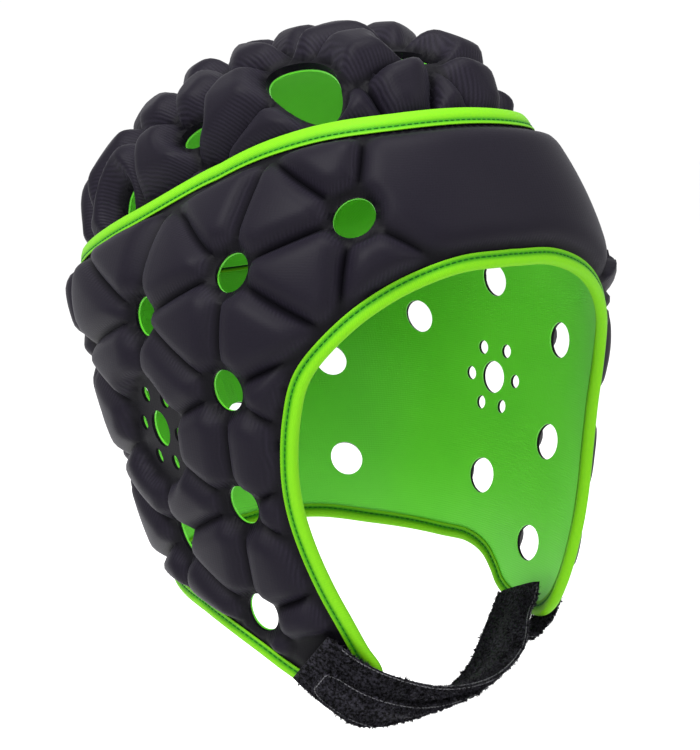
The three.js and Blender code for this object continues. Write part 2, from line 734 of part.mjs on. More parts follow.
const tape = () => BINDING_SECTION;
const topFrames = edgeFrames(topLoop(TOP_STEPS, 0), true, -1);
const lowerFrames = edgeFrames(lowerRound(LOWER_STEPS), true, 1);
function lowestFrame(from, to) {
  const heights = lowerFrames.slice(from, to).map((f) => f.centre.z);
  return from + heights.indexOf(Math.min(...heights));
}
const tipFirst = lowestFrame(0, LOWER_STEPS);
const tipLast = lowestFrame(LOWER_STEPS, 2 * LOWER_STEPS);
const crownBinding = sweep(topFrames, tape, true);
const faceBinding = sweep(lowerFrames.slice(tipFirst + 1, tipLast), tape, false);
const napeFrames = [...lowerFrames.slice(tipLast + 1), ...lowerFrames.slice(0, tipFirst)];
const napeBinding = sweep(napeFrames, tape, false);

// The band's skins are trimmed a little short of the fold in the tapes
const short = (frames) => frames.map((f) => f.centre.clone().addScaledVector(f.across, -TRIM_SHORT));
const trims = [
  cone(short(topFrames), TOP_EYE, TOP_TOWARD),
  cone(short(lowerFrames), LOWER_EYE, LOWER_TOWARD),
  ...earDrills(),
];
const bandShell = wasm.Manifold.difference([wholeShell, ...trims]);
const bandLining = wasm.Manifold.difference([wholeLining, ...trims]);

// Strap frames: a centre line, the way its outer face looks and the way across it
function station(row) {
  if (row.turn === undefined) {
    return {
      centre: new THREE.Vector3(row.x, row.y, row.z),
      look: new THREE.Vector3(row.lookX, row.lookY, row.lookZ),
    };
  }
  const look = wallNormal(row.turn, row.along).applyAxisAngle(UP, radians(row.swing ?? 0));
  return { centre: lifted(row.turn, row.along, row.lift), look };
}
function strapLine(stations) {
  const centres = new THREE.CatmullRomCurve3(stations.map((s) => s.centre), false, "centripetal");
  const looks = new THREE.CatmullRomCurve3(stations.map((s) => s.look), false, "catmullrom");
  return (share) => {
    const run = centres.getTangentAt(share);
    const look = looks.getPoint(centres.getUtoTmapping(share));
    const normal = look.addScaledVector(run, -look.dot(run)).normalize();
    const across = normal.clone().cross(run).normalize();
    return { share, centre: centres.getPointAt(share), normal, across };
  };
}
function ribbon(width, thick) {
  const h = width / 2;
  const t = thick / 2;
  return [
    { out: -h, lift: -t },
    { out: -h, lift: t },
    { out: h, lift: t },
    { out: h, lift: -t },
  ];
}
const loopLine = strapLine(LOOP_STATIONS.map(station));
const loopShares = Array.from({ length: STRAP_STEPS + 1 }, (_, i) => i / STRAP_STEPS);
const loopStrap = sweep(loopShares.map(loopLine), () => ribbon(LOOP_WIDTH, STRAP_THICK), false);

// The hook strap laps the loop strap, then passes outside the left cheek; its free end is round
const lapped = HOOK_LAP.map(({ share, out, slide }) => {
  const { centre, normal, across } = loopLine(share);
  return { centre: centre.addScaledVector(normal, out).addScaledVector(across, slide), look: normal };
});
const hookLine = strapLine([...lapped, ...HOOK_CHEEK.map(station)]);
const hookShares = loopShares.map((s) => (s < 0.12 ? (s * s) / 0.24 + s / 2 : s));
const hookSpots = loopShares.map((s) => hookLine(s).centre);
const hookLength = hookSpots.slice(1).reduce((sum, spot, i) => sum + spot.distanceTo(hookSpots[i]), 0);
const hookStrap = sweep(
  hookShares.map(hookLine),
  ({ share }) => {
    const left = Math.min((share * hookLength) / END_ROUND, 1);
    return ribbon(HOOK_WIDTH * (0.35 + 0.65 * Math.sqrt(1 - (1 - left) ** 2)), STRAP_THICK);
  },
  false,
);

function piece(name, body, finish) {
  const mesh = body.getMesh();
  const geometry = new THREE.BufferGeometry();
  const positions = new Float32Array(mesh.numVert * 3);
  for (let i = 0; i < mesh.numVert; i += 1) {
    for (let k = 0; k < 3; k += 1) positions[3 * i + k] = mesh.vertProperties[i * mesh.numProp + k];
  }
  geometry.setAttribute("position", new THREE.BufferAttribute(positions, 3));
  geometry.setIndex(new THREE.BufferAttribute(new Uint32Array(mesh.triVerts), 1));
  geometry.computeVertexNormals();
  const node = new THREE.Mesh(geometry, new THREE.MeshStandardMaterial(finish));
  node.name = name;
  return node;
}

const guard = new THREE.Group();
guard.name = "head_guard";
guard.add(
  piece("band_shell", bandShell, CLOTH_BLACK),
  piece("band_lining", bandLining, LINING_GREEN),
  piece("crown_shell", crownShell, CLOTH_BLACK),
  piece("crown_lining", crownLining, LINING_GREEN),
  piece("crown_binding", crownBinding, TAPE_LIME),
  piece("face_binding", faceBinding, TAPE_LIME),
  piece("nape_binding", napeBinding, TAPE_LIME),
  piece("loop_strap", loopStrap, PILE_BLACK),
  piece("hook_strap", hookStrap, PILE_BLACK),
);

// The origin is the inside of the crown, where the top of the head bears
const seat = crownPoint(0, 0).addScaledVector(UP, -CROWN_WALL - GAP - LINING);
guard.position.copy(seat).negate();

export default guard;
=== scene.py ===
"""Dresses a padded head guard: foam band and crown, lining, bound edges and a lapped chin strap.

Tables and sizes are in millimetres about the ear line, with the face looking along -Y, the
wearer's left along +X and +Z up. Meshes are made in metres about the seat inside the crown.
"""

import logging
import math
from dataclasses import dataclass, field
from enum import Enum
from typing import Sequence

import bpy
import numpy as np
from mathutils import Matrix, Vector
from mathutils.geometry import delaunay_2d_cdt
from mathutils.kdtree import KDTree


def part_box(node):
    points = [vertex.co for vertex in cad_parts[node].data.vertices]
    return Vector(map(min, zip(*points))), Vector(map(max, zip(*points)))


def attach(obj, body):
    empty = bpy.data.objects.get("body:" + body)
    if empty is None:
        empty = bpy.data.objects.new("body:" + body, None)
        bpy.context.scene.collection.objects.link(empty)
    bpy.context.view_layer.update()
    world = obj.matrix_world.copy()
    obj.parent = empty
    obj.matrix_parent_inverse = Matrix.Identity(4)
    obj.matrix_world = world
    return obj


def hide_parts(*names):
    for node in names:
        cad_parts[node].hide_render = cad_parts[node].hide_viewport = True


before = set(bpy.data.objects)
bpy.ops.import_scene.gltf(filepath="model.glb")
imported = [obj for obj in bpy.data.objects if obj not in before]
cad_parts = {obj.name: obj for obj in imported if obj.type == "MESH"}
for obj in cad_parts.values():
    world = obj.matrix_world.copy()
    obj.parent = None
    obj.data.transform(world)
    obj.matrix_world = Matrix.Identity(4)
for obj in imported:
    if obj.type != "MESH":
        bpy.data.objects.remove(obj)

LOG = logging.getLogger("head_guard")
MM = 0.001
IMAGE_HEIGHT = 750
SENSOR = 36.0
Body = tuple[np.ndarray, list]
Frames = tuple[np.ndarray, np.ndarray, np.ndarray]


# Small sums used by every piece


class Knots(Enum):
    """How a curve spaces its knots, as a power of the distance between points."""

    EVEN = 0.0
    CENTRIPETAL = 0.5


def smooth(x: np.ndarray) -> np.ndarray:
    """Eases from 0 to 1 with level ends."""
    t = np.clip(x, 0, 1)
    return t * t * (3 - 2 * t)


def plump(x: np.ndarray, power: float = 0.62) -> np.ndarray:
    """Rises steeply from a sewn line and rounds off to 1, as a stuffed pad does."""
    return np.sin(np.clip(x, 0, 1) * math.pi / 2) ** power


def unit(vectors: np.ndarray) -> np.ndarray:
    """Scales each row to length one."""
    return vectors / np.maximum(np.linalg.norm(vectors, axis=-1, keepdims=True), 1e-12)


def through(
    xs: Sequence[float], ys: Sequence[float], x: np.ndarray, ends: tuple[bool, bool]
) -> np.ndarray:
    """Smooth curve through the rows of a table.

    Args:
        xs: The rows' places, rising.
        ys: The rows' values.
        x: Where the curve is wanted.
        ends: Whether the first and the last end are level.

    Returns:
        The curve's values at x.
    """
    places = np.asarray(xs, float)
    values = np.asarray(ys, float)
    slopes = np.gradient(values, places)
    slopes[1:-1] = (values[2:] - values[:-2]) / (places[2:] - places[:-2])
    slopes[0] = 0 if ends[0] else slopes[0]
    slopes[-1] = 0 if ends[1] else slopes[-1]
    i = np.searchsorted(places[1:-1], x, side="left")
    span = places[i + 1] - places[i]
    s = np.clip((x - places[i]) / span, 0, 1)
    rise = (1 - s) ** 2
    return (
        values[i] * (1 + 2 * s) * rise
        + slopes[i] * span * s * rise
        + values[i + 1] * s * s * (3 - 2 * s)
        + slopes[i + 1] * span * s * s * (s - 1)
    )


def dense_curve(points: np.ndarray, steps: int, spacing: Knots) -> np.ndarray:
    """Catmull-Rom curve through points, sampled evenly in each span.

    Args:
        points: The points that the curve passes, one a row.
        steps: Samples for each span.
        spacing: How its knots are spaced.

    Returns:
        The samples, with the last point at the end.
    """
    ends = np.vstack([2 * points[0] - points[1], points, 2 * points[-1] - points[-2]])
    knots = np.maximum(np.linalg.norm(np.diff(ends, axis=0), axis=1) ** spacing.value, 1e-6)
    out = []
    for k in range(len(points) - 1):
        p0, p1, p2, p3 = ends[k : k + 4]
        d0, d1, d2 = knots[k : k + 3]
        m1 = ((p1 - p0) / d0 - (p2 - p0) / (d0 + d1) + (p2 - p1) / d1) * d1
        m2 = ((p2 - p1) / d1 - (p3 - p1) / (d1 + d2) + (p3 - p2) / d2) * d1
        s = np.linspace(0, 1, steps, endpoint=False)[:, None]
        out.append(
            p1 * (1 + 2 * s) * (1 - s) ** 2
            + m1 * s * (1 - s) ** 2
            + p2 * s * s * (3 - 2 * s)
            + m2 * s * s * (s - 1)
        )
    return np.vstack([*out, points[-1:]])


def run_along(line: np.ndarray) -> np.ndarray:
    """Distance of each of a line's points from its start."""
    return np.concatenate([[0], np.cumsum(np.linalg.norm(np.diff(line, axis=0), axis=1))])


def even_steps(line: np.ndarray, count: int, measure: np.ndarray) -> np.ndarray:
    """Samples a line at even distances.

    Args:
        line: The line's points.
        count: How many samples.
        measure: Points of the same line in the space where distance is counted.

    Returns:
        The samples of line.
    """
    run = run_along(measure)
    at = np.linspace(0, run[-1], count)
    return np.stack([np.interp(at, run, line[:, k]) for k in range(line.shape[1])], axis=1)


def within(points: np.ndarray, loop: np.ndarray) -> np.ndarray:
    """Tells which flat points lie inside a closed loop.

    Args:
        points: The flat points.
        loop: The loop's corners.

    Returns:
        True for each point inside.
    """
    inside = np.zeros(len(points), bool)
    for a, b in zip(loop, np.roll(loop, -1, axis=0)):
        spans = (a[1] > points[:, 1]) != (b[1] > points[:, 1])
        if not spans.any() or a[1] == b[1]:
            continue
        cross = a[0] + (points[:, 1] - a[1]) * (b[0] - a[0]) / (b[1] - a[1])
        inside ^= spans & (points[:, 0] < cross)
    return inside


def nearest(points: np.ndarray, others: np.ndarray) -> np.ndarray:
    """Distance from each point to the nearest of the others.

    Args:
        points: The points to measure.
        others: The points to reach.

    Returns:
        The distances.
    """
    pad = 3 - others.shape[1]
    tree = KDTree(len(others))
    for i, p in enumerate(np.pad(others, ((0, 0), (0, pad)))):
        tree.insert(p, i)
    tree.balance()
    return np.array([tree.find(p)[2] for p in np.pad(points, ((0, 0), (0, pad)))])


def triangulate(
    grid: np.ndarray, outline: np.ndarray, holes: Sequence[np.ndarray], clear: float
) -> tuple[np.ndarray, np.ndarray]:
    """Fills an outline with triangles that keep to its edge and leave its holes open.

    Args:
        grid: Flat points to use inside.
        outline: The closed outer loop.
        holes: The closed loops left open.
        clear: How far grid points stay from every loop.

    Returns:
        The flat points and the triangles' corners.
    """
    loops = [outline, *holes]
    keep = within(grid, outline)
    for hole in holes:
        keep &= ~within(grid, hole)
    grid = grid[keep]
    grid = grid[nearest(grid, np.vstack(loops)) > clear]
    edges = []
    start = 0
    for loop in loops:
        edges += [(start + i, start + (i + 1) % len(loop)) for i in range(len(loop))]
        start += len(loop)
    flat = [Vector(p) for p in np.vstack([*loops, grid])]
    made = delaunay_2d_cdt(flat, edges, [], 0, 1e-5, False)
    points = np.array([tuple(p) for p in made[0]])
    faces = np.array([f for f in made[2] if len(f) == 3])
    centres = points[faces].mean(axis=1)
    keep = within(centres, outline)
    for hole in holes:
        keep &= ~within(centres, hole)
    return points, faces[keep]


def closed_shell(outer: np.ndarray, inner: np.ndarray, faces: np.ndarray) -> Body:
    """Joins two skins that share their triangles into one closed body.

    Args:
        outer: Points of the outer skin.
        inner: Points of the inner skin.
        faces: Triangles of both, turned to face out.

    Returns:
        All points and faces.
    """
    count = len(outer)
    corners = np.vstack([faces[:, [0, 1]], faces[:, [1, 2]], faces[:, [2, 0]]])
    directed = {tuple(e) for e in corners}
    rim = [(b, a, a + count, b + count) for a, b in directed if (b, a) not in directed]
    back = faces[:, ::-1] + count
    return np.vstack([outer, inner]), [*faces.tolist(), *back.tolist(), *sorted(rim)]


def swept(centres: np.ndarray, across: np.ndarray, normals: np.ndarray, sections: np.ndarray) -> Body:
    """Sweeps a closed flat section along a run of frames and caps its ends.

    Args:
        centres: The frames' places.
        across: The way each section's first number runs.
        normals: The way each section's second number runs.
        sections: The section's points at each frame.

    Returns:
        Points and faces.
    """
    points = centres[:, None] + across[:, None] * sections[..., :1]
    points = points + normals[:, None] * sections[..., 1:]
    count, size = sections.shape[:2]
    faces = []
    for i in range(count - 1):
        for k in range(size):
            n = (k + 1) % size
            faces.append((i * size + k, (i + 1) * size + k, (i + 1) * size + n, i * size + n))
    last = (count - 1) * size
    faces += [tuple(range(size)), tuple(range(last + size - 1, last - 1, -1))]
    return points.reshape(-1, 3), faces


def join_ends(points: np.ndarray, faces: list, size: int) -> Body:
    """Closes a sweep on itself by dropping its caps and welding its last section to its first."""
    count = len(points) - size
    return points[:count], [tuple(k % count for k in f) for f in faces[:-2]]


def joined(bodies: Sequence[Body]) -> Body:
    """Several bodies as one.

    Args:
        bodies: Points and faces of each.

    Returns:
        All points and faces.
    """
    points, faces = np.zeros((0, 3)), []
    for new, found in bodies:
        faces += [tuple(k + len(points) for k in f) for f in found]
        points = np.vstack([points, new])
    return points, faces


def skin_area(points: np.ndarray, faces: np.ndarray) -> float:
    """Area of a skin of triangles, from millimetres to square metres."""
    a, b, c = (points[faces[:, k]] for k in range(3))
    return float(np.linalg.norm(np.cross(b - a, c - a), axis=1).sum()) / 2 * MM**2


def faces_out(points: np.ndarray, faces: list) -> list:
    """Turns a closed body's faces outward if its volume comes out negative.

    Args:
        points: The body's points.
        faces: Its faces.

    Returns:
        The faces, turned if need be.
    """
    fans = [(f[0], f[i], f[i + 1]) for f in faces for i in range(1, len(f) - 1)]
    a, b, c = points[np.array(fans)].transpose(1, 0, 2)
    volume = np.einsum("ij,ij->i", a, np.cross(b, c)).sum()
    return faces if volume > 0 else [tuple(reversed(f)) for f in faces]


# The head form that every wall follows


@dataclass(frozen=True)
class Level:
    """One level of the head form, with its distance along the wall from the ear line."""

    along: float
    height: float
    half_width: float
    front: float
    back: float
    front_full: float
    back_full: float


@dataclass(frozen=True)
class Spot:
    """A place on the wall: turn from the face in degrees, distance along the wall."""

    turn: float
    along: float


@dataclass(frozen=True)
class HeadForm:
    """Smooth form of the head under the padding."""

    levels: tuple[Level, ...] = (
        Level(-109, -108, 66, 77, 58, -0.06, 0.06),
        Level(-55, -54, 72, 84, 76, 0.05, 0.08),
        Level(0, 0, 83.5, 91.5, 102.5, 0.05, 0.1),
        Level(52, 51.5, 85.5, 89, 128.5, 0.04, 0.12),
        Level(101, 95.5, 62, 75.5, 115, 0.06, 0.12),
        Level(141, 126, 36, 46, 67, 0.06, 0.1),
        Level(176, 137, 0, 0, 0, 0.06, 0.1),
    )
    crown_back: float = 22.0
    crown_drop: float = 100.0
    step: float = 0.5
    table_rows: int = 4000
    ray_reach: float = 260.0
    ray_halvings: int = 36
    rise_halvings: int = 40
    lean: float = 3.4
    lean_turns: tuple[float, float, float, float] = (5, 35, 52, 84)
    lean_alongs: tuple[float, float] = (5, -50)

    def level(self, along: np.ndarray, key: str) -> np.ndarray:
        """One of the levels' columns, at any distance along the wall.

        Args:
            along: Distance along the wall.
            key: The column's name.

        Returns:
            The column's values.
        """
        places = [row.along for row in self.levels]
        values = [getattr(row, key) for row in self.levels]
        return through(places, values, along, (False, key == "height"))

    def fullness(self, along: np.ndarray, ahead: np.ndarray, angle: np.ndarray) -> np.ndarray:
        """How far the form stands out between its axes, as a factor."""
        share = np.where(ahead, self.level(along, "front_full"), self.level(along, "back_full"))
        return 1 + share * np.sin(2 * angle) ** 2

    def wall(self, turn: np.ndarray, along: np.ndarray) -> np.ndarray:
        """Points of the form.

        Args:
            turn: Degrees from the face, positive to the wearer's left.
            along: Distance along the wall from the ear line.

        Returns:
            A point for each pair.
        """
        turn, along = np.broadcast_arrays(np.asarray(turn, float), np.asarray(along, float))
        angle = np.radians(np.abs(turn))
        ahead = np.abs(turn) < 90
        full = self.fullness(along, ahead, angle)
        reach = np.where(ahead, self.level(along, "front"), self.level(along, "back"))
        out = self.leaning(turn, along)
        x = (full * self.level(along, "half_width") + out) * np.sin(angle) * np.sign(turn)
        y = -(full * reach + out) * np.cos(angle)
        return np.stack([x, y, self.level(along, "height")], axis=-1)

    def leaning(self, turn: np.ndarray, along: np.ndarray) -> np.ndarray:
        """How far the front edge of the left cheek leans out.

        Args:
            turn: Degrees from the face.
            along: Distance along the wall.

        Returns:
            The lean at each place.
        """
        near, full, fading, gone = self.lean_turns
        across = smooth((turn - near) / (full - near)) * smooth((turn - gone) / (fading - gone))
        start, end = self.lean_alongs
        return self.lean * across * smooth((along - start) / (end - start))

    def tangents(self, turn: np.ndarray, along: np.ndarray) -> tuple[np.ndarray, np.ndarray]:
        """The form's run for one degree of turn and for one millimetre along.

        Args:
            turn: Degrees from the face.
            along: Distance along the wall.

        Returns:
            The run across and the run upward.
        """
        turn, along = np.broadcast_arrays(np.asarray(turn, float), np.asarray(along, float))
        s = self.step
        across = (self.wall(turn + s, along) - self.wall(turn - s, along)) / (2 * s)
        upward = (self.wall(turn, along + s) - self.wall(turn, along - s)) / (2 * s)
        return across, upward

    def normal(self, turn: np.ndarray, along: np.ndarray) -> np.ndarray:
        """Directions square to the form, outward."""
        return unit(np.cross(*self.tangents(turn, along)))

    def lifted(self, turn: np.ndarray, along: np.ndarray, lift: np.ndarray | float) -> np.ndarray:
        """Points set off the form by a lift."""
        off = np.asarray(lift, float)[..., None] if np.ndim(lift) else lift
        return self.wall(turn, along) + self.normal(turn, along) * off

    def along_at(self, height: np.ndarray) -> np.ndarray:
        """Distance along the wall at a height."""
        table = np.linspace(self.levels[0].along, self.levels[-1].along, self.table_rows)
        return np.interp(height, self.level(table, "height"), table)

    def polar(self, points: np.ndarray) -> tuple[np.ndarray, np.ndarray, np.ndarray]:
        """Turn without its sign, distance along, and share of the way out to the form.

        Args:
            points: Points in space.

        Returns:
            The three numbers of each point.
        """
        along = self.along_at(points[:, 2])
        ahead = points[:, 1] < 0
        reach = np.where(ahead, self.level(along, "front"), self.level(along, "back"))
        x = np.abs(points[:, 0]) / np.maximum(self.level(along, "half_width"), 1e-6)
        y = np.abs(points[:, 1]) / np.maximum(reach, 1e-6)
        angle = np.arctan2(x, y)
        share = np.hypot(x, y) / self.fullness(along, ahead, angle)
        turn = np.degrees(np.where(ahead, angle, math.pi - angle))
        return turn, along, share

    def within(self, points: np.ndarray) -> np.ndarray:
        """Tells which points lie inside the form."""
        return (points[:, 2] < self.levels[-1].height) & (self.polar(points)[2] < 1)

    @property
    def eye(self) -> np.ndarray:
        """Point inside the head from which the crown is laid flat."""
        return np.array([0, self.crown_back, self.levels[-1].height - self.crown_drop])

    def crown(self, flat: np.ndarray) -> np.ndarray:
        """Crown points at flat distances, to the side and to the back, from the crown's middle.

        Args:
            flat: The flat distances.

        Returns:
            A point for each pair.
        """
        reach = np.hypot(flat[:, 0], flat[:, 1])
        angle = reach / self.crown_drop
        spread = np.sin(angle) / np.maximum(reach, 1e-9)
        rays = np.stack([flat[:, 0] * spread, flat[:, 1] * spread, np.cos(angle)], axis=1)
        low = np.zeros(len(flat))
        high = np.full(len(flat), self.ray_reach)
        for _ in range(self.ray_halvings):
            mid = (low + high) / 2
            inside = self.within(self.eye + rays * mid[:, None])
            low, high = np.where(inside, mid, low), np.where(inside, high, mid)
        return self.eye + rays * low[:, None]

    def crown_normal(self, flat: np.ndarray) -> np.ndarray:
        """Directions square to the crown, outward.

        Args:
            flat: The flat distances.

        Returns:
            A direction for each pair.
        """
        side, back = np.array([[self.step, 0]]), np.array([[0, self.step]])
        across = self.crown(flat + side) - self.crown(flat - side)
        along = self.crown(flat + back) - self.crown(flat - back)
        return unit(np.cross(across, along))

    def flat(self, points: np.ndarray) -> np.ndarray:
        """Flat distances of crown points from the crown's middle.

        Args:
            points: Points on the crown.

        Returns:
            The distances to the side and to the back.
        """
        rays = unit(points - self.eye)
        angle = np.arccos(np.clip(rays[:, 2], -1, 1)) * self.crown_drop
        level = np.maximum(np.hypot(rays[:, 0], rays[:, 1]), 1e-9)
        return rays[:, :2] / level[:, None] * angle[:, None]

    def above(self, side: float, back: float) -> np.ndarray:
        """Crown point straight above a place in plan.

        Args:
            side: To the wearer's left.
            back: Behind the ear axis.

        Returns:
            The point.
        """
        low, high = 0.0, self.levels[-1].height
        for _ in range(self.rise_halvings):
            mid = (low + high) / 2
            inside = self.within(np.array([[side, back, mid]]))[0]
            low, high = (mid, high) if inside else (low, mid)
        return np.array([side, back, low])


class Hand(Enum):
    """Side of the wearer's head."""

    LEFT = 1
    RIGHT = -1


@dataclass(frozen=True)
class Walls:
    """Thicknesses and gaps that the sewn pieces share."""

    shell: float = 2.6
    crown: float = 2.5
    lining: float = 1.0
    lining_cloth: float = 0.6
    gap: float = 0.3
    tape: float = 1.0
    over: float = 0.7


@dataclass(frozen=True)
class Edges:
    """The band's bound edges."""

    top: tuple[Spot, ...] = (
        Spot(0, 124), Spot(30, 122), Spot(60, 116), Spot(90, 101),
        Spot(110, 79), Spot(130, 60), Spot(155, 49), Spot(180, 46),
    )
    lower: tuple[Spot, ...] = (
        Spot(0, 65), Spot(14, 64), Spot(26, 58.5), Spot(35.5, 50), Spot(44, 38),
        Spot(49.5, 27), Spot(52.5, 13), Spot(54, -2), Spot(54, -18), Spot(52, -34),
        Spot(48.5, -49), Spot(44.5, -61), Spot(40.5, -72), Spot(36.5, -81), Spot(38, -89.5),
        Spot(45, -93.5), Spot(54, -90), Spot(63, -84), Spot(72, -78), Spot(82, -73.5),
        Spot(93, -70.5), Spot(107, -69), Spot(130, -67), Spot(155, -64), Spot(180, -62),
    )
    left: tuple[Spot, ...] = (
        Spot(54.5, -18), Spot(53.5, -34), Spot(52.5, -48), Spot(52, -60), Spot(53, -71),
        Spot(56, -80), Spot(62, -86.5), Spot(70, -88.5), Spot(79, -87.5), Spot(86, -83.5),
        Spot(90, -77.5), Spot(95, -72.5), Spot(103, -69.5), Spot(116, -69.5), Spot(140, -67.5),
        Spot(160, -63.5), Spot(180, -62),
    )
    shared: int = 8
    curve_steps: int = 12

    def top_along(self, turn: np.ndarray) -> np.ndarray:
        """Distance along the wall of the top edge.

        Args:
            turn: Degrees from the face.

        Returns:
            The distance at each turn.
        """
        turns = [spot.turn for spot in self.top]
        alongs = [spot.along for spot in self.top]
        return through(turns, alongs, np.abs(turn), (True, True))

    def top_line(self, count: int, drop: float = 0.0) -> np.ndarray:
        """The top edge from back to back as turn and distance along, set down by drop."""
        turn = np.linspace(-180, 180, count)
        return np.stack([turn, self.top_along(turn) - drop], axis=1)

    def lower_line(self, form: HeadForm, count: int) -> np.ndarray:
        """The lower edge from back to back as turn and distance along.

        Args:
            form: The head form, on which distances are counted.
            count: How many points.

        Returns:
            Points from the back by the right cheek, face and left cheek to the back.
        """
        sides = (self.lower, (*self.lower[: self.shared], *self.left))
        tables = [np.array([[spot.turn, spot.along] for spot in side]) for side in sides]
        right, left = (dense_curve(table, self.curve_steps, Knots.CENTRIPETAL) for table in tables)
        line = np.vstack([right[:0:-1] * [-1, 1], left])
        return even_steps(line, count, form.wall(line[:, 0], line[:, 1]))


# Meshes, placing and shading


@dataclass
class Workshop:
    form: HeadForm
    walls: Walls
    pull_gain: float = 2.2
    seat: np.ndarray = field(init=False)

    def __post_init__(self) -> None:
        """Finds the seat inside the crown, which is the row's origin."""
        bearing = self.walls.crown + self.walls.gap + self.walls.lining
        self.seat = self.form.above(0, self.form.crown_back) - np.array([0, 0, bearing])

    def to_row(self, points: np.ndarray) -> np.ndarray:
        """Turns millimetres about the ear line into metres in the row's frame."""
        return (points - self.seat) * MM

    def piece(
        self, name: str, points: np.ndarray, faces: list, crease: float = 50.0
    ) -> bpy.types.Object:
        """Makes a smooth-shaded piece.

        Args:
            name: The piece's plain name.
            points: Its points in millimetres about the ear line.
            faces: Its faces.
            crease: Angle in degrees past which an edge stays sharp.

        Returns:
            The new object.
        """
        mesh = bpy.data.meshes.new(name)
        mesh.from_pydata(self.to_row(points).tolist(), [], [list(map(int, f)) for f in faces])
        mesh.shade_smooth()
        mesh.set_sharp_from_angle(angle=math.radians(crease))
        mesh.update()
        made = bpy.data.objects.new(name, mesh)
        bpy.context.scene.collection.objects.link(made)
        return made

    @staticmethod
    def note(piece: bpy.types.Object, name: str, values: np.ndarray) -> None:
        """Keeps a vector for each of a piece's points, for its finish to read."""
        kept = piece.data.attributes.new(name, "FLOAT_VECTOR", "POINT")
        kept.data.foreach_set("vector", np.ascontiguousarray(values, np.float32).ravel())

    def note_cloth(self, piece: bpy.types.Object, flat: np.ndarray) -> None:
        """Keeps the flat places of a piece of two skins, for the run of its cloth."""
        places = np.column_stack([flat, np.zeros(len(flat))])
        self.note(piece, "cloth", np.vstack([places, places]))

    def note_pull(self, piece: bpy.types.Object, normals: np.ndarray, share: np.ndarray) -> None:
        """Keeps how far a padded piece's outer skin is pulled over its pads, and its pad height, which
        the finish uses for painted shade where the pads run low.

        Args:
            piece: The piece, outer skin first.
            normals: The form's own normals under that skin.
            share: Pad height at its points, as a share of the full rise.
        """
        skin = np.zeros(len(piece.data.vertices) * 3, np.float32)
        piece.data.vertex_normals.foreach_get("vector", skin)
        slope = 1 - np.abs(np.einsum("ij,ij->i", normals, skin.reshape(-1, 3)[: len(share)]))
        pull = np.column_stack([slope * self.pull_gain, share, np.zeros(len(share))])
        self.note(piece, "pull", np.vstack([pull, np.zeros_like(pull)]))

    @staticmethod
    def place(piece: bpy.types.Object, finish: "Finish", slot: str, *nodes: str) -> bpy.types.Object:
        """Dresses a piece and ties it to the frame.

        Args:
            piece: The new object.
            finish: What it is made of.
            slot: The record's material slot; not used.
            nodes: CAD nodes that the piece stands for.

        Returns:
            The same object.
        """
        piece.data.materials.append(finish.material())
        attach(piece, "root")
        if nodes:
            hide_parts(*nodes)
        return piece


class Kind(Enum):
    """Shader nodes that the finishes use."""

    MATH = "ShaderNodeMath"
    MIX = "ShaderNodeMix"
    RANGE = "ShaderNodeMapRange"
    NOISE = "ShaderNodeTexNoise"
    CELLS = "ShaderNodeTexVoronoi"
    ATTRIBUTE = "ShaderNodeAttribute"
    SPLIT = "ShaderNodeSeparateXYZ"
    PLACE = "ShaderNodeTexCoord"
    BUMP = "ShaderNodeBump"
    SURFACE = "ShaderNodeBsdfPrincipled"
    OUTPUT = "ShaderNodeOutputMaterial"


class Wire:
    """A socket of a finish that takes part in sums."""

    def __init__(self, paint: "Paint", socket: bpy.types.NodeSocket) -> None:
        """Wraps a socket of a paint's nodes."""
        self.paint = paint
        self.socket = socket

    def sum(self, operation: str, *values: "Wire | float") -> "Wire":
        """A Math node on the given values."""
        return self.paint.add(Kind.MATH, {"operation": operation}, dict(enumerate(values)))

    def __add__(self, other: "Wire | float") -> "Wire":
        """Sum."""
        return self.sum("ADD", self, other)

    __radd__ = __add__

    def __sub__(self, other: "Wire | float") -> "Wire":
        """Difference."""
        return self.sum("SUBTRACT", self, other)

    def __rsub__(self, other: float) -> "Wire":
        """Difference from a number."""
        return self.sum("SUBTRACT", other, self)

    def __mul__(self, other: "Wire | float") -> "Wire":
        """Product."""
        return self.sum("MULTIPLY", self, other)

    __rmul__ = __mul__

    def sine(self) -> "Wire":
        """Sine."""
        return self.sum("SINE", self)

    def wave(self, pitch: float) -> "Wire":
        """A wave from 0 to 1 that repeats at a pitch."""
        return 0.5 + 0.5 * (self * (2 * math.pi / pitch)).sine()

    def ease(self, low: float, high: float) -> "Wire":
        """Eases from 0 at low to 1 at high."""
        limits = {"Value": self, "From Min": low, "From Max": high}
        return self.paint.add(Kind.RANGE, {"interpolation_type": "SMOOTHSTEP"}, limits)


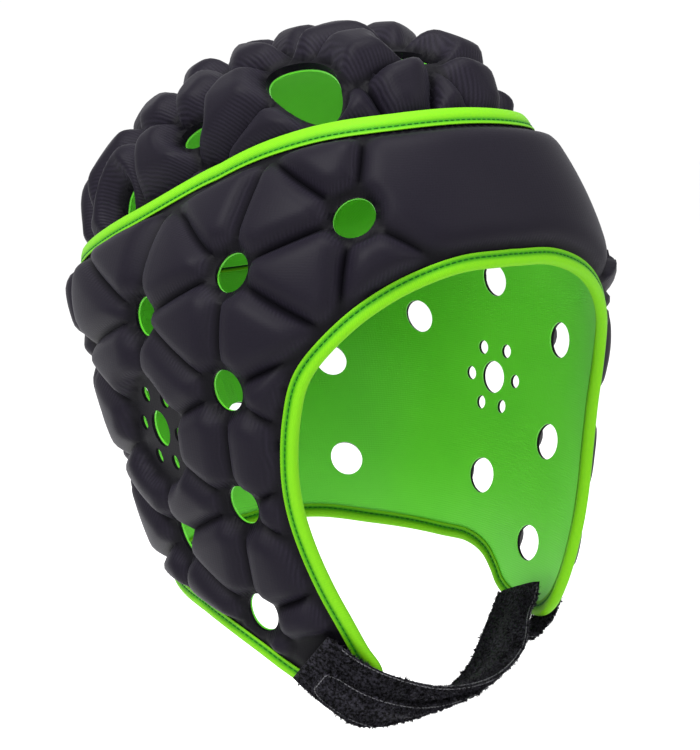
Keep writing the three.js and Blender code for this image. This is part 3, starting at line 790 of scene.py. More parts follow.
class Paint:
    """Builds one material's nodes."""

    def __init__(self, name: str) -> None:
        """Starts an empty material.

        Args:
            name: The material's name.
        """
        self.made = bpy.data.materials.new(name)
        self.made.use_nodes = True
        self.tree = self.made.node_tree
        self.tree.nodes.clear()

    def add(self, kind: Kind, settings: dict, inputs: dict, output: int | str = 0) -> Wire | None:
        """Adds a node.

        Args:
            kind: The node's type.
            settings: Its own settings, set first.
            inputs: Values or wires for its sockets, by name or number.
            output: Which output is wanted.

        Returns:
            That output, or nothing from a node that has none.
        """
        node = self.tree.nodes.new(kind.value)
        for key, value in settings.items():
            setattr(node, key, value)
        for key, value in inputs.items():
            if isinstance(value, Wire):
                self.tree.links.new(value.socket, node.inputs[key])
            else:
                node.inputs[key].default_value = value
        return Wire(self, node.outputs[output]) if len(node.outputs) else None

    def mixed(self, share: Wire | float, low: Wire | tuple, high: Wire | tuple) -> Wire:
        """A colour between two others."""
        return self.add(Kind.MIX, {"data_type": "RGBA"}, {0: share, 6: low, 7: high}, 2)

    def noise(self, where: Wire, scale: float, detail: float = 2.0) -> Wire:
        """Soft noise from 0 to 1, with scale in lumps for each unit of where."""
        return self.add(Kind.NOISE, {}, {"Vector": where, "Scale": scale, "Detail": detail})

    def noted(self, name: str) -> Wire:
        """A vector that the piece keeps at its points."""
        return self.add(Kind.ATTRIBUTE, {"attribute_name": name}, {}, "Vector")

    def part(self, vector: Wire, axis: int) -> Wire:
        """One number of a vector."""
        return self.add(Kind.SPLIT, {}, {0: vector}, axis)

    def place(self) -> Wire:
        """The point on the piece, in metres."""
        return self.add(Kind.PLACE, {}, {}, "Object")

    def relief(self, height: Wire, depth: float, strength: float = 1.0) -> Wire:
        """A bumped normal, with depth in metres."""
        return self.add(Kind.BUMP, {}, {"Strength": strength, "Distance": depth, "Height": height})

    def surface(self, constants: dict, varied: dict) -> bpy.types.Material:
        """Ends the material.

        Args:
            constants: Values that are the same all over.
            varied: Wires for the sockets that change over the surface.

        Returns:
            The finished material.
        """
        shader = self.add(Kind.SURFACE, {}, {**constants, **varied})
        self.add(Kind.OUTPUT, {}, {"Surface": shader})
        return self.made


Colour = tuple[float, float, float, float]


@dataclass(frozen=True)
class Finish:
    """A named finish that makes its own material once."""

    name: str

    def material(self) -> bpy.types.Material:
        """The finish's material, made when first asked for."""
        return bpy.data.materials.get(self.name) or self.paint(Paint(self.name))

    def paint(self, paint: Paint) -> bpy.types.Material:
        """Builds the nodes."""
        raise NotImplementedError


@dataclass(frozen=True)
class StretchKnit(Finish):
    """Charcoal stretch knit over foam, whose ribs open where it is pulled over a pad."""

    name: str = "stretch_knit"
    thread: Colour = (0.0036, 0.0029, 0.0054, 1)
    core: Colour = (0.0108, 0.0090, 0.0152, 1)
    # crease is painted shade: the tone the cloth darkens to in its grooves and other low places
    crease: Colour = (0.0014, 0.0012, 0.0022, 1)
    rib_pitch: float = 1.25
    course_pitch: float = 0.9
    rib_depth: float = 0.00014
    drift_scale: float = 0.09
    drift_reach: float = 2.2
    fleck_scale: float = 1.6
    mottle_scale: float = 0.06
    fine: float = 3.0
    open_from: float = 0.35
    painted_shade_to: float = 0.35

    def paint(self, paint: Paint) -> bpy.types.Material:
        """Ribs along the cloth, fine courses across them, and painted shade that darkens the cloth where
        its pads run low.

        Args:
            paint: The empty material.

        Returns:
            The finished material.
        """
        cloth = paint.noted("cloth")
        state = paint.noted("pull")
        across, along = paint.part(cloth, 0), paint.part(cloth, 1)
        pull, height = paint.part(state, 0), paint.part(state, 1)
        drift = paint.noise(cloth, self.drift_scale) * self.drift_reach
        rib = (across + drift).wave(self.rib_pitch)
        course = (along + drift).wave(self.course_pitch)
        fleck = paint.noise(cloth, self.fleck_scale, self.fine)
        mottle = paint.noise(cloth, self.mottle_scale, self.fine)
        open_rib = pull.ease(self.open_from, 1.0)
        pale = (rib * open_rib * 0.55 + fleck * 0.35) * (0.7 + 0.6 * mottle)
        tone = paint.mixed(pale, self.thread, self.core)
        # Painted shade: the cloth darkens towards the crease tone as pad height falls, in the grooves,
        # at the edges and round the vents
        tone = paint.mixed(1 - height.ease(0.0, self.painted_shade_to), tone, self.crease)
        weave = rib * (0.12 + 0.88 * open_rib) + course * 0.15 + fleck * 0.3
        rough = 0.46 + 0.16 * fleck - 0.06 * height
        relief = paint.relief(weave, self.rib_depth, 0.55)
        sheen = {"Sheen Weight": 0.015, "Sheen Roughness": 0.35, "Sheen Tint": (0.8, 0.78, 1, 1)}
        return paint.surface(
            {**sheen, "Specular IOR Level": 0.055},
            {"Base Color": tone, "Roughness": rough, "Normal": relief},
        )


@dataclass(frozen=True)
class LiningKnit(Finish):
    """Smooth green lining with a faint cross-rib and shallow puckers."""

    name: str = "lining_knit"
    light: Colour = (0.084, 0.430, 0.013, 1)
    deep: Colour = (0.057, 0.355, 0.008, 1)
    rib_pitch: float = 0.9
    course_pitch: float = 1.17
    pucker_scale: float = 0.035
    fleck_scale: float = 1.1
    depth: float = 0.00012

    def paint(self, paint: Paint) -> bpy.types.Material:
        """Fine ribs and flecks, with painted shade that darkens the hollows of the broad puckers.

        Args:
            paint: The empty material.

        Returns:
            The finished material.
        """
        cloth = paint.noted("cloth")
        rib = paint.part(cloth, 1).wave(self.rib_pitch)
        course = paint.part(cloth, 0).wave(self.course_pitch)
        pucker = paint.noise(cloth, self.pucker_scale)
        fleck = paint.noise(cloth, self.fleck_scale)
        # The pucker share is painted shade, darker where the bump dips; the flecks and ribs are the
        # cloth's own
        tone = paint.mixed(pucker * 0.7 + fleck * 0.2 + rib * 0.12, self.deep, self.light)
        weave = rib * 0.5 + course * 0.3 + fleck * 0.3 + pucker * 6
        relief = paint.relief(weave, self.depth, 0.5)
        return paint.surface(
            {"Sheen Weight": 0.15, "Sheen Roughness": 0.4, "Specular IOR Level": 0.4},
            {"Base Color": tone, "Roughness": 0.46 + 0.14 * fleck, "Normal": relief},
        )


@dataclass(frozen=True)
class BindingTape(Finish):
    """Bright lime binding tape with a fine diagonal twill."""

    name: str = "lime_tape"
    light: Colour = (0.118, 0.315, 0.003, 1)
    deep: Colour = (0.052, 0.250, 0.002, 1)
    # groove is painted shade: the tone of the tape down in its stitched line
    groove: Colour = (0.003, 0.120, 0.001, 1)
    twill_pitch: float = 0.8
    fleck_scale: float = 0.9
    depth: float = 0.00012

    def paint(self, paint: Paint) -> bpy.types.Material:
        """Twill that runs slantwise along the tape, with painted shade that darkens the stitched groove.

        Args:
            paint: The empty material.

        Returns:
            The finished material.
        """
        cloth = paint.noted("cloth")
        run, out, sunk = (paint.part(cloth, k) for k in range(3))
        twill = (run + out).wave(self.twill_pitch)
        fleck = paint.noise(cloth, self.fleck_scale)
        tone = paint.mixed(0.55 * fleck + 0.35 * twill + 0.2, self.deep, self.light)
        # Painted shade: the tone darkens to the groove colour where the tape is sunk into its stitched
        # line
        tone = paint.mixed(sunk * 0.92, tone, self.groove)
        relief = paint.relief(twill * 0.7 + fleck * 0.4, self.depth, 0.5)
        return paint.surface(
            {"Sheen Weight": 0.02, "Sheen Roughness": 0.35, "Specular IOR Level": 0.08},
            {"Base Color": tone, "Roughness": 0.5 + 0.15 * fleck, "Normal": relief},
        )


@dataclass(frozen=True)
class SewingThread(Finish):
    """Twisted sewing thread."""

    name: str = "thread"
    light: Colour = (0.001, 0.090, 0.001, 1)
    deep: Colour = (0.001, 0.040, 0.001, 1)
    twist_pitch: float = 0.0005
    depth: float = 0.0001

    def paint(self, paint: Paint) -> bpy.types.Material:
        """A twist along the thread.

        Args:
            paint: The empty material.

        Returns:
            The finished material.
        """
        place = paint.place()
        lean = paint.part(place, 0) + paint.part(place, 1) + paint.part(place, 2)
        twist = lean.wave(self.twist_pitch)
        tone = paint.mixed(twist, self.deep, self.light)
        relief = paint.relief(twist, self.depth, 0.5)
        return paint.surface(
            {"Sheen Weight": 0.02, "Specular IOR Level": 0.08},
            {"Base Color": tone, "Roughness": 0.55 + 0.15 * twist, "Normal": relief},
        )


@dataclass(frozen=True)
class LoopPile(Finish):
    """Black loop pile, tufted, with painted light on the tufts and painted shade down between them."""

    name: str = "loop_pile"
    # root is painted shade down among the fibres; tip is painted light on the tufts
    root: Colour = (0.0006, 0.0006, 0.0008, 1)
    tip: Colour = (0.0230, 0.0220, 0.0290, 1)
    tuft_scale: float = 850.0
    fluff_scale: float = 900.0
    fluff_fine: float = 3.0
    fluff_ease: tuple[float, float] = (0.38, 0.64)
    patch_scale: float = 120.0
    depth: float = 0.0004

    def paint(self, paint: Paint) -> bpy.types.Material:
        """Tufts from cells, broken up by noise, lighter in their middles and darker between them as
        painted light and shade.

        Args:
            paint: The empty material.

        Returns:
            The finished material.
        """
        place = paint.place()
        tufts = paint.add(Kind.CELLS, {}, {"Vector": place, "Scale": self.tuft_scale})
        fluff = paint.noise(place, self.fluff_scale, self.fluff_fine).ease(*self.fluff_ease)
        patch = paint.noise(place, self.patch_scale)
        # Painted light and shade: lighter where the tufts and fluff stand up, darker at the roots
        # between them
        tone = paint.mixed((1 - tufts) * 0.6 * fluff + fluff * 0.7 * patch, self.root, self.tip)
        relief = paint.relief((1 - tufts) + fluff, self.depth, 0.7)
        return paint.surface(
            {"Sheen Weight": 0.02, "Sheen Roughness": 0.5, "Specular IOR Level": 0.03},
            {"Base Color": tone, "Roughness": 0.85 + 0.1 * fluff, "Normal": relief},
        )


@dataclass(frozen=True)
class PaleFloor(Finish):
    """Plain pale studio floor."""

    name: str = "pale_floor"
    light: Colour = (0.99, 0.99, 0.99, 1)
    deep: Colour = (0.975, 0.975, 0.975, 1)
    patch_scale: float = 3.0

    def paint(self, paint: Paint) -> bpy.types.Material:
        """A barely uneven matte white.

        Args:
            paint: The empty material.

        Returns:
            The finished material.
        """
        patch = paint.noise(paint.place(), self.patch_scale)
        tone = paint.mixed(patch, self.deep, self.light)
        return paint.surface({"Roughness": 0.9}, {"Base Color": tone})


# Band: padded shell and lining


@dataclass(frozen=True)
class Vent:
    """A round vent at a lattice point, counted forward and up from the ear."""

    column: float
    row: float


@dataclass(frozen=True)
class ColumnTurn:
    """Turn of a lattice column on the wearer's left, where the columns draw in to the ear."""

    column: float
    turn: float


@dataclass(frozen=True)
class Tip:
    """A cheek tip, kept flat for the strap that is sewn there."""

    turn: float
    along: float
    clear: float


@dataclass
class Band:
    """Foam band round the head, grooved into three-cornered pads, with its lining."""

    shop: Workshop
    edges: Edges
    row_pitch: float = 41.75
    front_column: float = 3.5
    back_column: float = -3.0
    row_low: float = -2.5
    row_high: float = 3.5
    column_reach: float = 42.0
    diagonal_reach: float = 37.4
    brow_column: float = 2.0
    brow_rise: float = 3.0
    brow_rise_left: float = 2.5
    pad_rise: float = 6.8
    pad_round: float = 6.5
    dome_round: float = 22.0
    dome_share: float = 0.3
    brow_round: float = 9.0
    brow_share: float = 0.56
    groove_half: float = 0.6
    top_margin: float = 8.0
    lower_margin: float = 5.6
    edge_round: float = 9.0
    edge_press: float = 1.3
    edge_ease: float = 4.0
    vent_radius: float = 7.3
    vent_margin: float = 1.6
    vent_round: float = 6.5
    vent_press: float = 1.6
    vent_ease: float = 4.0
    ear_disc: float = 20.5
    ear_vent: float = 6.8
    ring_radius: float = 13.5
    ring_vent: float = 2.9
    ring_count: int = 6
    tips: tuple[Tip, ...] = (Tip(-48, -83, 19), Tip(67, -82, 17))
    trim: float = 2.2
    shell_divisions: int = 20
    lining_divisions: int = 8
    vent_points: int = 36
    ring_points: int = 18
    table_rows: int = 8001
    top_length: float = 620.0
    top_samples: int = 720
    lower_length: float = 1150.0
    lower_samples: int = 1400
    cut_turn: float = 179.0
    cut_clear: float = 0.4
    grid_clear: float = 0.45
    weld_reach: float = 0.001
    lining_cut: tuple[float, float] = (0.62, 0.22)
    vents: tuple[Vent, ...] = (
        Vent(2, 2), Vent(1, 1.5), Vent(0, 1), Vent(1, 0.5), Vent(1, -0.5), Vent(1, -1.5),
        Vent(0, -1), Vent(-1, 0.5), Vent(-2, 0), Vent(-2, -1), Vent(-3, 0.5), Vent(-3, -0.5),
    )
    left_columns: tuple[ColumnTurn, ...] = (
        ColumnTurn(-3, 180), ColumnTurn(-2, 147), ColumnTurn(-1, 121), ColumnTurn(0, 99),
        ColumnTurn(1, 75), ColumnTurn(2, 55), ColumnTurn(3.5, 0),
    )

    @property
    def half_round(self) -> float:
        """Flat distance from the front to the back."""
        return self.column_reach * (self.front_column - self.back_column)

    def turn_at(self, flat: np.ndarray | float) -> np.ndarray:
        """Turn at a flat distance from the front, both positive to the wearer's left.

        Args:
            flat: Flat distance from the front.

        Returns:
            Degrees from the face.
        """
        flat = np.asarray(flat, float)
        column = self.front_column - np.abs(flat) / self.column_reach
        rows = self.left_columns
        left = through([r.column for r in rows], [r.turn for r in rows], column, (False, False))
        return np.where(flat > 0, left, flat * 180 / self.half_round)

    def flattened(self, line: np.ndarray) -> np.ndarray:
        """A line of turns and distances along, with its turns as flat distances from the front."""
        table = np.linspace(-self.half_round, self.half_round, self.table_rows)
        return np.column_stack([np.interp(line[:, 0], self.turn_at(table), table), line[:, 1]])

    def vent_places(self) -> list[tuple[float, float, float, float]]:
        """Every large vent as turn, distance along, radius and the flat ground round it.

        Returns:
            Four numbers for each vent.
        """
        places = []
        rows = [(v, self.vent_radius, self.vent_radius + self.vent_margin) for v in self.vents]
        rows.append((Vent(0, 0), self.ear_vent, self.ear_disc))
        for vent, radius, clear in rows:
            flat = (self.front_column - vent.column) * self.column_reach
            hands = [Hand.LEFT] if vent.column == self.back_column else list(Hand)
            along = vent.row * self.row_pitch
            places += [(float(self.turn_at(hand.value * flat)), along, radius, clear) for hand in hands]
        return places

    def ring(
        self, turn: float, along: float, radius: float, count: int, shift: tuple[float, float] = (0, 0)
    ) -> np.ndarray:
        """A round hole's loop as turns and distances along.

        Args:
            turn: The hole's turn.
            along: Its distance along the wall.
            radius: Its radius.
            count: How many points.
            shift: Millimetres across and up from that place to the hole's middle.

        Returns:
            The loop's points.
        """
        across, upward = self.shop.form.tangents(np.array([turn]), np.array([along]))
        a = np.arange(count) * 2 * math.pi / count
        side = (shift[0] + radius * np.cos(a)) / np.linalg.norm(across)
        rise = (shift[1] + radius * np.sin(a)) / np.linalg.norm(upward)
        return np.stack([turn + side, along + rise], axis=1)

    def holes(self) -> list[np.ndarray]:
        """Flat loops of every vent but those in the cut at the back.

        Returns:
            The closed loops.
        """
        loops = []
        for turn, along, radius, _ in self.vent_places():
            if abs(turn) < self.cut_turn:
                loops.append(self.ring(turn, along, radius, self.vent_points))
        for hand in Hand:
            turn = float(self.turn_at(hand.value * self.front_column * self.column_reach))
            for i in range(self.ring_count):
                a = 2 * math.pi * i / self.ring_count
                shift = (self.ring_radius * math.cos(a), self.ring_radius * math.sin(a))
                loops.append(self.ring(turn, 0.0, self.ring_vent, self.ring_points, shift))
        return [self.flattened(loop) for loop in loops]

    def outline(self, divisions: int) -> np.ndarray:
        """The band's flat outline, cut open down the back and notched round the vents there.

        Args:
            divisions: Grid steps for each lattice step, which the cut follows.

        Returns:
            The closed flat loop.
        """
        form = self.shop.form
        step = self.row_pitch / divisions
        top = self.edges.top_line(int(self.top_length / step), self.trim)
        lower = self.edges.lower_line(form, int(self.lower_length / step))
        across, upward = form.tangents(lower[:, 0], lower[:, 1])
        scale = np.stack([np.linalg.norm(across, axis=1), np.linalg.norm(upward, axis=1)], axis=1)
        run = unit(np.gradient(lower, axis=0) * scale)
        lower = lower + np.stack([-run[:, 1], run[:, 0]], axis=1) * self.trim / scale
        lower[0, 0], lower[-1, 0] = -180, 180
        lowest = math.ceil(lower[0, 1] / step + 0.5)
        highest = math.floor(top[0, 1] / step - 0.5)
        rows = np.arange(lowest, highest + 1) * step
        cut = np.column_stack([np.full(len(rows), 180.0), rows])
        quarter = self.vent_points // 4
        for turn, along, radius, _ in self.vent_places():
            if abs(turn) > self.cut_turn:
                half = self.ring(180.0, along, radius, self.vent_points)[quarter : 3 * quarter + 1]
                half = half[::-1] if half[0, 1] > half[-1, 1] else half
                half[0, 0] = half[-1, 0] = 180.0
                under = cut[cut[:, 1] < along - radius - step * self.cut_clear]
                over = cut[cut[:, 1] > along + radius + step * self.cut_clear]
                cut = np.vstack([under, half, over])
        left = cut[::-1] * [-1, 1]
        return self.flattened(np.vstack([lower, cut, top[::-1], left]))

    def grid(self, divisions: int) -> np.ndarray:
        """Staggered flat points that follow the pad lattice.

        Args:
            divisions: Grid steps for each lattice step.

        Returns:
            The flat points.
        """
        points = []
        count = int(divisions * (self.front_column - self.back_column))
        for i in range(-count + 1, count):
            odd = (abs(i) - int(self.front_column * divisions)) % 2
            rows = np.arange(self.row_low * divisions, self.row_high * divisions + 1) + 0.5 * odd
            side = np.full(len(rows), i * self.column_reach)
            points.append(np.column_stack([side, rows * self.row_pitch]) / divisions)
        return np.vstack(points)

    def margins(self, points: np.ndarray) -> tuple[np.ndarray, np.ndarray]:
        """Distances of places on the form from the band's top edge and from its lower edge.

        Args:
            points: Places on the form.

        Returns:
            Distances from the top and from the lower edge.
        """
        form = self.shop.form
        lines = (self.edges.top_line(self.top_samples), self.edges.lower_line(form, self.lower_samples))
        top, lower = (nearest(points, form.wall(line[:, 0], line[:, 1])) for line in lines)
        return top, lower

    def pressed(self, points: np.ndarray) -> np.ndarray:
        """How far the shell is pressed down round its vents and under its tapes.

        Args:
            points: Places on the form.

        Returns:
            The depth at each place.
        """
        depth = np.zeros(len(points))
        for turn, along, _, clear in self.vent_places():
            off = np.linalg.norm(points - self.shop.form.wall(turn, along), axis=1)
            off = off - clear + self.vent_margin
            depth = np.maximum(depth, self.vent_press * (1 - smooth(off / self.vent_ease)))
        top, lower = self.margins(points)
        held = np.minimum(top - self.top_margin, lower - self.lower_margin)
        return np.maximum(depth, self.edge_press * (1 - smooth(held / self.edge_ease)))

    def pads(self, flat: np.ndarray) -> np.ndarray:
        """Pad height over the grooves, as a share of the full rise.

        Args:
            flat: Flat places on the band.

        Returns:
            The share at each place.
        """
        form = self.shop.form
        turn, along = self.turn_at(flat[:, 0]), flat[:, 1]
        column = self.front_column - np.abs(flat[:, 0]) / self.column_reach
        row = along / self.row_pitch
        lines = np.stack([column, row + column / 2, row - column / 2])
        reach = np.array([self.column_reach, self.diagonal_reach, self.diagonal_reach])[:, None]
        off = np.abs(lines - np.round(lines)) * reach - self.groove_half
        dome = np.prod(plump(off / self.dome_round), axis=0)
        share = np.prod(plump(off / self.pad_round), axis=0)
        share *= 1 - self.dome_share + self.dome_share * dome
        ahead = (column - self.brow_column) * self.column_reach - self.groove_half
        foot = np.where(flat[:, 0] > 0, self.brow_rise_left, self.brow_rise)
        above = (row + column / 2 - foot) * self.diagonal_reach - self.groove_half
        brow = self.brow_share * plump(ahead / self.brow_round) * plump(above / self.brow_round)
        share = np.where((ahead > -self.groove_half) & (above > -self.groove_half), brow, share)
        points = form.wall(turn, along)
        top, lower = self.margins(points)
        rims = plump((top - self.top_margin) / self.edge_round)
        share *= rims * plump((lower - self.lower_margin) / self.edge_round)
        clears = [(t, a, clear) for t, a, _, clear in self.vent_places()]
        clears += [(tip.turn, tip.along, tip.clear) for tip in self.tips]
        for t, a, clear in clears:
            far = np.linalg.norm(points - form.wall(t, a), axis=1)
            share *= plump((far - clear) / self.vent_round)
        return share

    def skin(self, divisions: int) -> tuple[np.ndarray, np.ndarray]:
        """The band's flat triangles, welded at the back.

        Args:
            divisions: Grid steps for each lattice step.

        Returns:
            Flat points and triangles.
        """
        clear = self.row_pitch / divisions * self.grid_clear
        points, faces = triangulate(self.grid(divisions), self.outline(divisions), self.holes(), clear)
        left = np.flatnonzero(np.abs(points[:, 0] - self.half_round) < self.weld_reach)
        right = np.flatnonzero(np.abs(points[:, 0] + self.half_round) < self.weld_reach)
        weld = np.arange(len(points))
        for i in right:
            weld[i] = left[np.argmin(np.abs(points[left, 1] - points[i, 1]))]
        faces = weld[faces]
        used, faces = np.unique(faces, return_inverse=True)
        return points[used], faces.reshape(-1, 3)

    def build_shell(self) -> bpy.types.Object:
        """The padded outer shell.

        Returns:
            The piece.
        """
        form, walls = self.shop.form, self.shop.walls
        flat, faces = self.skin(self.shell_divisions)
        turn, along = self.turn_at(flat[:, 0]), flat[:, 1]
        share = self.pads(flat)
        lift = share * self.pad_rise - self.pressed(form.wall(turn, along))
        outer = form.lifted(turn, along, lift)
        inner = form.lifted(turn, along, -walls.shell)
        made = self.shop.piece("padded_band", *closed_shell(outer, inner, faces))
        self.shop.note_cloth(made, flat)
        self.shop.note_pull(made, form.normal(turn, along), share)
        self.shop.place(made, StretchKnit(), "shell_cloth", "band_shell")
        return made

    def build_lining(self) -> bpy.types.Object:
        """The green lining inside the band.

        Returns:
            The piece.
        """
        form, walls = self.shop.form, self.shop.walls
        flat, cut = self.skin(self.lining_divisions)
        turn, along = self.turn_at(flat[:, 0]), flat[:, 1]
        outer = form.lifted(turn, along, -walls.shell - walls.gap)
        inner = form.lifted(turn, along, -walls.shell - walls.gap - walls.lining_cloth)
        made = self.shop.piece("band_lining_cloth", *closed_shell(outer, inner, cut))
        self.shop.note_cloth(made, flat)
        self.shop.place(made, LiningKnit(), "lining_cloth", "band_lining")
        return (made, skin_area(outer, cut))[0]


# Crown: padded shell with openings, and lining


@dataclass(frozen=True)
class Pad:
    """A crown pad's middle in plan: distance to the side and to the back of the ear axis."""

    side: float
    back: float


@dataclass(frozen=True)
class Opening:
    """An oval opening of the crown in plan, turned by a swing."""

    side: float
    back: float
    half_length: float
    half_width: float
    swing: float


@dataclass
class Crown:
    """Foam crown of pillowed pads with oval openings, sewn in under the band."""

    shop: Workshop
    edges: Edges
    pads: tuple[Pad, ...] = (
        Pad(0, -62), Pad(19, -55), Pad(36, -51), Pad(21, -22), Pad(10, -3), Pad(59, -14),
        Pad(73, 8), Pad(47, 13), Pad(12, 24), Pad(29, 27), Pad(44, 37), Pad(60, 48),
        Pad(77, 38), Pad(13, 55), Pad(30, 59), Pad(46, 63), Pad(62, 68), Pad(80, 84),
        Pad(15, 88), Pad(34, 90), Pad(52, 87), Pad(68, 98), Pad(18, 117), Pad(46, 113),
    )
    openings: tuple[Opening, ...] = (
        Opening(0, -31, 11, 8, 90), Opening(37.5, -16, 24, 11, -18),
        Opening(55, 29, 9, 5, 25), Opening(70, 66, 10, 6, 78),
    )
    reach: float = 150.0
    shell_step: float = 1.7
    lining_step: float = 5.0
    grid_clear: float = 0.45
    hole_points: int = 40
    seam_length: float = 700.0
    seam_samples: int = 720
    lining_cut: tuple[float, float] = (0.20, 0.26)
    rise: float = 9.6
    pad_round: float = 8.5
    groove_half: float = 0.6
    opening_margin: float = 1.2
    opening_round: float = 6.0
    opening_core: float = 0.2
    rim_margin: float = 1.0
    rim_round: float = 7.0
    tuck_depth: float = 8.9
    tuck_from: float = 3.0
    tuck_over: float = 24.0
    seam: float = 7.0
    neighbours: int = 8

    def both(self, rows: Sequence) -> list[tuple]:
        """Each row with its hand, once where it lies on the middle line."""
        return [(row, hand.value) for row in rows for hand in Hand if row.side or hand is Hand.LEFT]

    def frames(self) -> list[tuple[np.ndarray, np.ndarray, np.ndarray, Opening]]:
        """Middle, length and width directions of every opening.

        Returns:
            Middle, two directions and the opening's own row.
        """
        found = []
        for row, hand in self.both(self.openings):
            centre = self.shop.form.above(row.side * hand, row.back)
            normal = self.shop.form.crown_normal(self.shop.form.flat(centre[None]))[0]
            swing = math.radians(row.swing) * hand
            heading = np.array([math.sin(swing), math.cos(swing), 0])
            length = unit(heading - normal * heading.dot(normal))
            found.append((centre, length, np.cross(normal, length), row))
        return found

    def holes(self, count: int) -> list[np.ndarray]:
        """Flat loops of the openings.

        Args:
            count: Points on each loop.

        Returns:
            The closed loops.
        """
        a = np.arange(count)[:, None] * 2 * math.pi / count
        loops = []
        for centre, length, width, row in self.frames():
            ring = centre + length * row.half_length * np.cos(a) + width * row.half_width * np.sin(a)
            loops.append(self.shop.form.flat(ring))
        return loops

    def inside_seam(self, points: np.ndarray) -> np.ndarray:
        """Distance inside the band's top edge, negative under the band.

        Args:
            points: Places on the form.

        Returns:
            The distance at each place.
        """
        form = self.shop.form
        line = self.edges.top_line(self.seam_samples)
        far = nearest(points, form.wall(line[:, 0], line[:, 1]))
        turn, along, _ = form.polar(points)
        return np.where(along > self.edges.top_along(turn), far, -far)

    def tuck(self, inside: np.ndarray) -> np.ndarray:
        """How deep the crown dips to pass under the band."""
        return -self.tuck_depth * (1 - smooth((inside - self.tuck_from) / self.tuck_over))

    def plumpness(self, points: np.ndarray, inside: np.ndarray) -> np.ndarray:
        """Pad height over the grooves, as a share of the full rise.

        Args:
            points: Places on the form.
            inside: Their distances inside the seam.

        Returns:
            The share at each place.
        """
        rows = self.both(self.pads)
        centres = np.array([self.shop.form.above(pad.side * hand, pad.back) for pad, hand in rows])
        far = ((points[:, None] - centres) ** 2).sum(axis=2)
        order = np.argsort(far, axis=1)[:, : self.neighbours]
        ranked = np.take_along_axis(far, order, axis=1)
        own = centres[order[:, 0]]
        spread = np.linalg.norm(centres[order[:, 1:]] - own[:, None], axis=2)
        groove = (ranked[:, 1:] - ranked[:, :1]) / (2 * spread) - self.groove_half
        share = np.prod(plump(groove / self.pad_round), axis=1)
        share *= plump((inside - self.rim_margin) / self.rim_round)
        for centre, length, width, row in self.frames():
            off = points - centre
            x, y = off @ length / row.half_length, off @ width / row.half_width
            out = np.hypot(x, y)
            steep = np.hypot(x / row.half_length, y / row.half_width)
            clear = out * (out - 1) / np.maximum(steep, 1e-9)
            clear = np.where(out < self.opening_core, -row.half_width, clear)
            share *= plump((clear - self.opening_margin) / self.opening_round)
        return share

    def skin(self, step: float) -> tuple[np.ndarray, np.ndarray]:
        """The crown's flat triangles inside its seam.

        Args:
            step: Distance between grid points.

        Returns:
            Flat points and triangles.
        """
        form = self.shop.form
        line = self.edges.top_line(int(self.seam_length / step), self.seam)[:-1]
        outline = form.flat(form.wall(line[:, 0], line[:, 1]))
        count = int(self.reach / step)
        a, b = np.meshgrid(np.arange(-count, count + 1), np.arange(-count, count + 1))
        grid = np.stack([a * step, (b + 0.5 * (a % 2)) * step], axis=-1).reshape(-1, 2)
        return triangulate(grid, outline, self.holes(self.hole_points), step * self.grid_clear)

    def build_shell(self) -> bpy.types.Object:
        """The padded crown.

        Returns:
            The piece.
        """
        form, walls = self.shop.form, self.shop.walls
        flat, faces = self.skin(self.shell_step)
        base = form.crown(flat)
        normal = form.crown_normal(flat)
        inside = self.inside_seam(base)
        share = self.plumpness(base, inside)
        dip = self.tuck(inside)
        outer = base + normal * (dip + share * self.rise)[:, None]
        inner = base + normal * (dip - walls.crown)[:, None]
        made = self.shop.piece("padded_crown", *closed_shell(outer, inner, faces))
        self.shop.note_cloth(made, flat)
        self.shop.note_pull(made, normal, share)
        self.shop.place(made, StretchKnit(), "shell_cloth", "crown_shell")
        return made

    def build_lining(self) -> bpy.types.Object:
        """The green lining under the crown.

        Returns:
            The piece.
        """
        form, walls = self.shop.form, self.shop.walls
        flat, cut = self.skin(self.lining_step)
        base = form.crown(flat)
        normal = form.crown_normal(flat)
        dip = self.tuck(self.inside_seam(base)) - walls.crown - walls.gap
        outer, inner = (base + normal * (dip - deep)[:, None] for deep in (0.0, walls.lining_cloth))
        made = self.shop.piece("crown_lining_cloth", *closed_shell(outer, inner, cut))
        self.shop.note_cloth(made, flat)
        self.shop.place(made, LiningKnit(), "lining_cloth", "crown_lining")
        return (made, skin_area(outer, cut))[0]


# Binding: folded tapes and their stitches


class Rim(Enum):
    """The bound edges, named for the CAD nodes that carry their tapes."""

    CROWN = "crown_binding"
    FACE = "face_binding"
    NAPE = "nape_binding"


def stitches(
    centres: np.ndarray, runs: np.ndarray, normals: np.ndarray, length: float, radius: float
) -> Body:
    """Short threads that rise out of the cloth and dive back into it.

    Args:
        centres: The stitches' middles.
        runs: The way each lies.
        normals: Away from the cloth.
        length: Length of one.
        radius: Its thickness, halved.

    Returns:
        Points and faces of all of them together.
    """
    shares = np.array([-0.5, -0.3, 0.3, 0.5])
    lifts = np.array([-1.3, 0.35, 0.35, -1.3]) * radius
    thick = np.array([0.5, 1, 1, 0.5]) * radius
    sides = 6
    a = np.arange(sides) * 2 * math.pi / sides
    across = np.cross(normals, runs)
    rings = centres[:, None] + runs[:, None] * (shares * length)[:, None]
    rings = rings + normals[:, None] * lifts[:, None]
    spokes = across[:, None, None] * np.cos(a)[:, None] + normals[:, None, None] * np.sin(a)[:, None]
    points = (rings[:, :, None] + spokes * thick[:, None, None]).reshape(-1, 3)
    size = len(shares) * sides
    faces = []
    for i in range(len(centres)):
        for r in range(len(shares) - 1):
            start = i * size + r * sides
            for k in range(sides):
                n = (k + 1) % sides
                faces.append((start + k, start + sides + k, start + sides + n, start + n))
        first, last = i * size, i * size + size - sides
        faces += [tuple(range(first, first + sides)), tuple(range(last + sides - 1, last - 1, -1))]
    return points, faces


